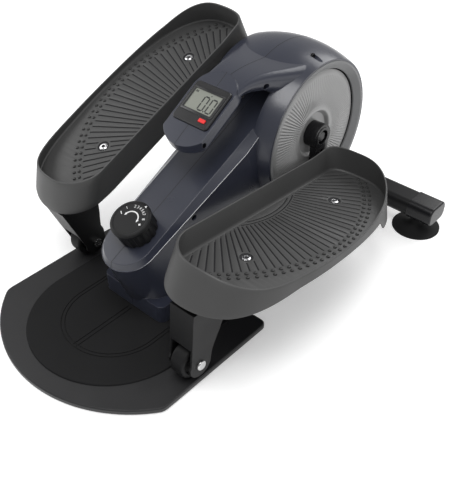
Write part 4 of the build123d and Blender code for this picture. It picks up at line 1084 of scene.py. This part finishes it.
@dataclass
class TensionDial(SubAssembly):
    """The print on the tension knob: a scale, a pointer and a double arrow.

    Attributes:
        deck: The deck that the knob stands on.
        up: How far up the deck the knob's axis lies.
        top: Height of the knob's top face over the deck.
        scale_radius: Radius of the ring of numbers.
        sign_radius: Radius at which the minus and the plus stand.
        arrow_radius: Radius of the double arrow.
        arrow: Angles of the arrow's two ends, in degrees.
        stroke: Width of the arrow's bar.
        head_half: Half width of an arrow head.
        head_turn: Its length, in degrees.
        signs: Angles at which the minus and the plus stand, in degrees.
        sign_half: Half length of the minus and of the plus.
        sign_thick: Half the thickness of their strokes.
        minus_turn: How the minus leans, in degrees.
        numbers: Angle of each number from 1 on, in degrees.
        digit_size: Height of the numbers' type.
        pointer: Angle of the pointer, in degrees.
        wedge: Outline of the pointer at angle 0.
        ring: Outer and inner radius of the bezel.
    """

    deck: FaceFrame = DECK
    up: float = 32.0
    top: float = 27.6
    scale_radius: float = 18.6
    sign_radius: float = 17.6
    arrow_radius: float = 11.0
    arrow: Point2 = (18.0, 158.0)
    stroke: float = 1.7
    head_half: float = 1.9
    head_turn: float = 20.0
    signs: Point2 = (176.0, -1.0)
    sign_half: Point2 = (2.4, 1.7)
    sign_thick: float = 0.6
    minus_turn: float = -35.0
    numbers: tuple[float, ...] = (146, 111, 97, 84, 71, 59, 48, 26)
    digit_size: float = 5.8
    pointer: float = 73.0
    wedge: tuple[Point2, ...] = ((23.8, -1.9), (23.8, 1.9), (26.8, 0))
    ring: Point2 = (26.6, 22.9)

    def arc(self) -> list[Point2]:
        """The double arrow's bent bar.

        Returns:
            The outline.
        """
        low, high = [math.radians(angle) for angle in self.arrow]
        turns = [low + (high - low) * k / 24 for k in range(25)]
        outer = [polar(self.arrow_radius + self.stroke / 2, turn) for turn in turns]
        inner = [polar(self.arrow_radius - self.stroke / 2, turn) for turn in reversed(turns)]
        return outer + inner

    def head(self, angle: float, turn: float) -> list[Point2]:
        """A head of the double arrow, bent like its bar.

        Args:
            angle: Angle of its base in degrees.
            turn: 1 or -1, the way it points.

        Returns:
            The outline.
        """
        base, tip = math.radians(angle), math.radians(angle + turn * self.head_turn)
        radii = (self.arrow_radius - self.head_half, self.arrow_radius + self.head_half)
        return [*[polar(radius, base) for radius in radii], polar(self.arrow_radius, tip)]

    def marks(self) -> list[list[Point2]]:
        """Outlines of all but the numbers.

        Returns:
            Closed outlines.
        """
        low, high = self.arrow
        loops = [self.arc(), self.head(high, 1), self.head(low, -1)]
        minus, plus = [polar(self.sign_radius, math.radians(angle)) for angle in self.signs]
        (half, reach), thick = self.sign_half, self.sign_thick
        ux, uy = polar(1, math.radians(self.minus_turn))
        loops.append(
            [(minus[0] + a * half * ux - b * thick * uy, minus[1] + a * half * uy + b * thick * ux)
             for a, b in ((1, 1), (-1, 1), (-1, -1), (1, -1))]
        )
        cross: list[Point2] = []
        arm = [(-reach, -thick), (-thick, -thick), (-thick, -reach)]
        for _ in range(4):
            cross += [(plus[0] + x, plus[1] + y) for x, y in arm]
            arm = [(-y, x) for x, y in arm]
        return [*loops, cross]

    def number(self, digit: int, angle: float) -> bpy.types.Object:
        """One number of the scale, standing outward.

        Args:
            digit: The number.
            angle: Where it stands, in degrees.

        Returns:
            The flat number.
        """
        name = f"dial_number_{digit}"
        words = bpy.data.curves.new(name, "FONT")
        words.body = str(digit)
        words.size = self.digit_size * MM
        words.align_x = words.align_y = "CENTER"
        words.extrude = 0.05 * MM
        data = meshed(name, words)
        turn = math.radians(angle)
        spot = (*polar(self.scale_radius * MM, turn), 0)
        data.transform(Matrix.Translation(spot) @ Matrix.Rotation(turn - math.pi / 2, 4, "Z"))
        return linked(name, data)

    def build(self) -> None:
        """Makes the print and the raised pointer."""
        face = self.deck.matrix(up=self.up, out=self.top)
        pieces = [self.shop.sheet("dial_marks", self.marks(), 0.0, 0.1, 0.01)]
        pieces += [self.number(digit, angle) for digit, angle in enumerate(self.numbers, start=1)]
        pointer = self.shop.sheet("dial_pointer", [self.wedge], 0.3, 0.4, 0.01)
        pointer.data.transform(Matrix.Rotation(math.radians(self.pointer), 4, "Z"))
        rings = [circle(72, radius) for radius in self.ring]
        bezel = self.shop.sheet("dial_bezel", rings, -0.2, 0.3, 0.12)
        bezel.data.transform(face)
        self.shop.place(bezel, "tension_knob", "beam_black")
        for piece in (*pieces, pointer):
            piece.data.transform(face)
            self.shop.mark(piece, "tension_knob", PRINT)
        LOG.info("made the dial's print")


@dataclass
class Seam(SubAssembly):
    """The fine parting line between the two halves of the housing.

    Attributes:
        width: Width of the line.
        proud: How far it stands out of the surface.
        depth: How far it reaches in.
        near: Metres from the middle plane within which an edge counts as on it.
    """

    width: float = 0.9
    proud: float = 0.06
    depth: float = 0.4
    near: float = 2e-6

    def build(self, frame: dict) -> None:
        """Lays a thin dark line along the outer edge of the parting face.
        """
        shape = bmesh.new()
        shape.from_mesh(frame["nodes"]["housing_right"].data)
        bmesh.ops.remove_doubles(shape, verts=shape.verts, dist=1e-6)
        runs = []
        for edge in shape.edges:
            on_plane = all(abs(vert.co.x) < self.near for vert in edge.verts)
            if on_plane and len(edge.link_faces) == 2:
                flat = [abs(face.normal.x) > 0.99 for face in edge.link_faces]
                if flat.count(True) == 1:
                    normal = edge.link_faces[flat.index(False)].normal.copy()
                    runs.append((*[vert.co.copy() for vert in edge.verts], normal))
        shape.free()
        half = self.width / 2
        points: list[Point3] = []
        faces: Faces = []
        for a, b, normal in runs:
            faces += bands(len(points), 2, 3)
            for spot in (a, b):
                for x, lift in ((-half, self.proud), (half, self.proud), (0.0, -self.depth)):
                    at = (spot + normal * lift * MM) / MM
                    points.append((x, at.y, at.z))
        line = self.shop.mesh("parting_line", points, faces)
        self.shop.mark(line, "base", SHADOW_LINE)
        LOG.info("made the parting line of %d runs", len(runs))


@dataclass
class EdgeBead(SubAssembly):
    """The fine raised bead along both flanks of the low body; its colour, lighter than the
    housing's, is a painted highlight.

    Attributes:
        deck: Frame of the deck, which the bead follows below its edge.
        drop: How far the bead lies under the deck.
        knees: Half width and distance up the deck of each corner.
        radius: Radius of the bead.
    """

    deck: FaceFrame = DECK
    drop: float = 8.0
    knees: tuple[Point2, ...] = ((43.5, 262.0), (49.0, 200.0), (41.0, 14.0))
    radius: float = 0.8

    def build(self) -> None:
        """Lays the bead from the drum round the nose and back."""
        half, turn_up = self.knees[-1]
        nose = [polar(half, -math.pi * k / 24) for k in range(1, 24)]
        flat = [*self.knees, *[(x, turn_up + up) for x, up in nose]]
        flat += [(-x, up) for x, up in reversed(self.knees)]
        place = self.deck.matrix(out=-self.drop)
        path = [tuple((place @ Vector((x * MM, up * MM, 0))) / MM) for x, up in flat]
        bead = self.shop.rod("edge_bead", path, self.radius)
        # the bead's lighter finish is a painted highlight
        self.shop.place(bead, "base", "housing", BEAD_HIGHLIGHT)
        LOG.info("made the edge bead")


@dataclass
class ConsoleScrewWell(SubAssembly):
    """The sunk screw at the lower right corner of the console: a raised collar round a flat disc
    painted in shade.

    Attributes:
        spot: Its centre on the side wall.
        out: Direction in which the wall faces.
        radius: Radius of the well.
        collar: Width of the raised collar.
    """

    spot: Point3 = (34.71, -36.2, 227.6)
    out: Point3 = (0.995, -0.055, 0.089)
    radius: float = 3.4
    collar: float = 0.4

    def build(self) -> None:
        """Makes the collar and the well's flat dark disc, which is painted shade."""
        wide = self.radius + self.collar
        rim = ((wide, -0.2), (wide, 0.08), (self.radius, 0.2), (self.radius - 0.1, 0.03))
        # painted shade: a flat near-black disc at the wall stands for the dark of the sunk hole
        ground = ((self.radius, -0.2), (self.radius, 0.06))
        turn = Vector(self.out).to_track_quat("Z", "Y").to_matrix()
        for name, rows, finish in (
            ("console_well_collar", rim, None),
            ("console_well_ground", ground, WELL_SHADE),
        ):
            points = [
                tuple(Vector(self.spot) + turn @ Vector((x, y, lift)))
                for size, lift in rows
                for x, y in circle(32, size)
            ]
            faces = bands(0, len(rows), 32, capped=finish is WELL_SHADE)
            self.shop.place(self.shop.mesh(name, points, faces), "base", "housing", finish)
        LOG.info("made the console's screw well")


@dataclass
class Studio:
    """Pale floor, soft lamps and the camera.

    Attributes:
        eye: Place of the camera in millimetres.
        azimuth: Its turn about the vertical, in degrees.
        tilt: Its tilt, in degrees, 0 being straight down.
        roll: Its roll, in degrees.
        lens: Its focal length.
        ambient: Strength of the light from all round.
        glow: How strongly the floor shines by itself.
    """

    eye: Point3 = (575.1, -599.0, 703.8)
    azimuth: float = 40.59
    tilt: float = 50.42
    roll: float = 0.98
    lens: float = 52.22
    ambient: float = 0.42
    glow: float = 0.32

    def camera(self) -> None:
        """Puts the camera at its place."""
        data = bpy.data.cameras.new("camera")
        data.lens = self.lens
        data.sensor_width = 36.0
        data.clip_end = 50
        eye = linked("camera", data)
        eye.matrix_world = (
            Matrix.Translation([c * MM for c in self.eye])
            @ Matrix.Rotation(math.radians(self.azimuth), 4, "Z")
            @ Matrix.Rotation(math.radians(self.tilt), 4, "X")
            @ Matrix.Rotation(math.radians(self.roll), 4, "Z")
        )
        bpy.context.scene.camera = eye

    def lamp(self, name: str, spot: Point3, size: float, power: float) -> None:
        """Adds a soft square lamp that looks at the machine.

        Args:
            name: Its name.
            spot: Its place in metres.
            size: Its edge in metres.
            power: Its power in watts.
        """
        data = bpy.data.lights.new(name, "AREA")
        data.size = size
        data.energy = power
        lamp = linked(name, data)
        lamp.location = spot
        aim = Vector((0, 0, 0.12)) - Vector(spot)
        lamp.rotation_euler = aim.to_track_quat("-Z", "Y").to_euler()

    def world(self) -> None:
        """White surroundings that light the machine softly."""
        world = bpy.data.worlds.new("surroundings")
        world.use_nodes = True
        tree = world.node_tree
        mix = node(tree, "MixShader", Fac=node(tree, "LightPath").outputs["Is Camera Ray"])
        for socket, strength in ((1, self.ambient), (2, 1.0)):
            sky = node(tree, "Background", Color=(1, 1, 1, 1), Strength=strength)
            tree.links.new(sky.outputs["Background"], mix.inputs[socket])
        fill(tree.nodes["World Output"], Surface=mix.outputs["Shader"])
        bpy.context.scene.world = world

    def floor(self) -> None:
        """A wide pale floor that keeps the machine's shadow."""
        data = bpy.data.meshes.new("floor")
        data.from_pydata([(-6, -6, 0), (6, -6, 0), (6, 6, 0), (-6, 6, 0)], [], [(0, 1, 2, 3)])
        floor = linked("floor", data)
        material = bpy.data.materials.new("pale_floor")
        material.use_nodes = True
        shader = material.node_tree.nodes["Principled BSDF"]
        fill(shader, Base_Color=(0.9, 0.9, 0.9, 1), Roughness=0.9)
        fill(shader, Emission_Color=(1, 1, 1, 1), Emission_Strength=self.glow)
        data.materials.append(material)

    def build(self) -> None:
        """Sets up everything round the machine."""
        self.camera()
        self.world()
        self.floor()
        self.lamp("key", (0.25, -0.55, 1.9), 1.1, 21)
        self.lamp("left", (-1.4, -0.5, 1.0), 1.0, 8)
        self.lamp("behind", (0.2, 1.5, 1.3), 1.2, 14)
        self.lamp("right", (1.6, 0.4, 0.7), 0.9, 2)
        bpy.context.scene.view_settings.view_transform = "Standard"


@dataclass
class Rest:
    """Where the pedals stand at rest, worked out from the crank and the rollers.

    Attributes:
        crank: Crank axis, y and z.
        throw: Distance from that axis to a pedal pin.
        right_angle: Angle of the right crank arm, in degrees.
        back: Distance from pin to roller, along the tray.
        drop: Distance from pin to roller, down from the tray.
        roller_height: Height of the roller's axis.
    """

    crank: Point2 = (168.0, 166.0)
    throw: float = 76.0
    right_angle: float = -92.0
    back: float = 338.0
    drop: float = 83.5
    roller_height: float = 32.8

    def pin(self, side: Side) -> Point2:
        """Pedal pin of a side, y and z."""
        y, z = polar(side.value * self.throw, math.radians(self.right_angle))
        return self.crank[0] + y, self.crank[1] + z

    def pitch(self, side: Side) -> float:
        """Pitch of a side's tray, in degrees."""
        lift = self.pin(side)[1] - self.roller_height
        reach = math.hypot(self.back, self.drop)
        return math.degrees(math.asin(lift / reach) - math.atan2(self.drop, self.back))


def main() -> None:
    """Builds the looks of the whole machine."""
    logging.basicConfig(level=logging.INFO, format="%(message)s")
    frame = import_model()
    studio = Studio()
    studio.build()
    shop = Workshop()
    shop.stock()
    shop.dress_nodes(frame)
    rest = Rest()
    for side in Side:
        FootTray(shop, side, rest.pin(side), rest.pitch(side)).build()
        RibbedDisc(shop, side).build()
    Console(shop).build()
    TensionDial(shop).build()
    Seam(shop).build(frame)
    EdgeBead(shop).build()
    ConsoleScrewWell(shop).build()


if __name__ == "__main__":
    main()
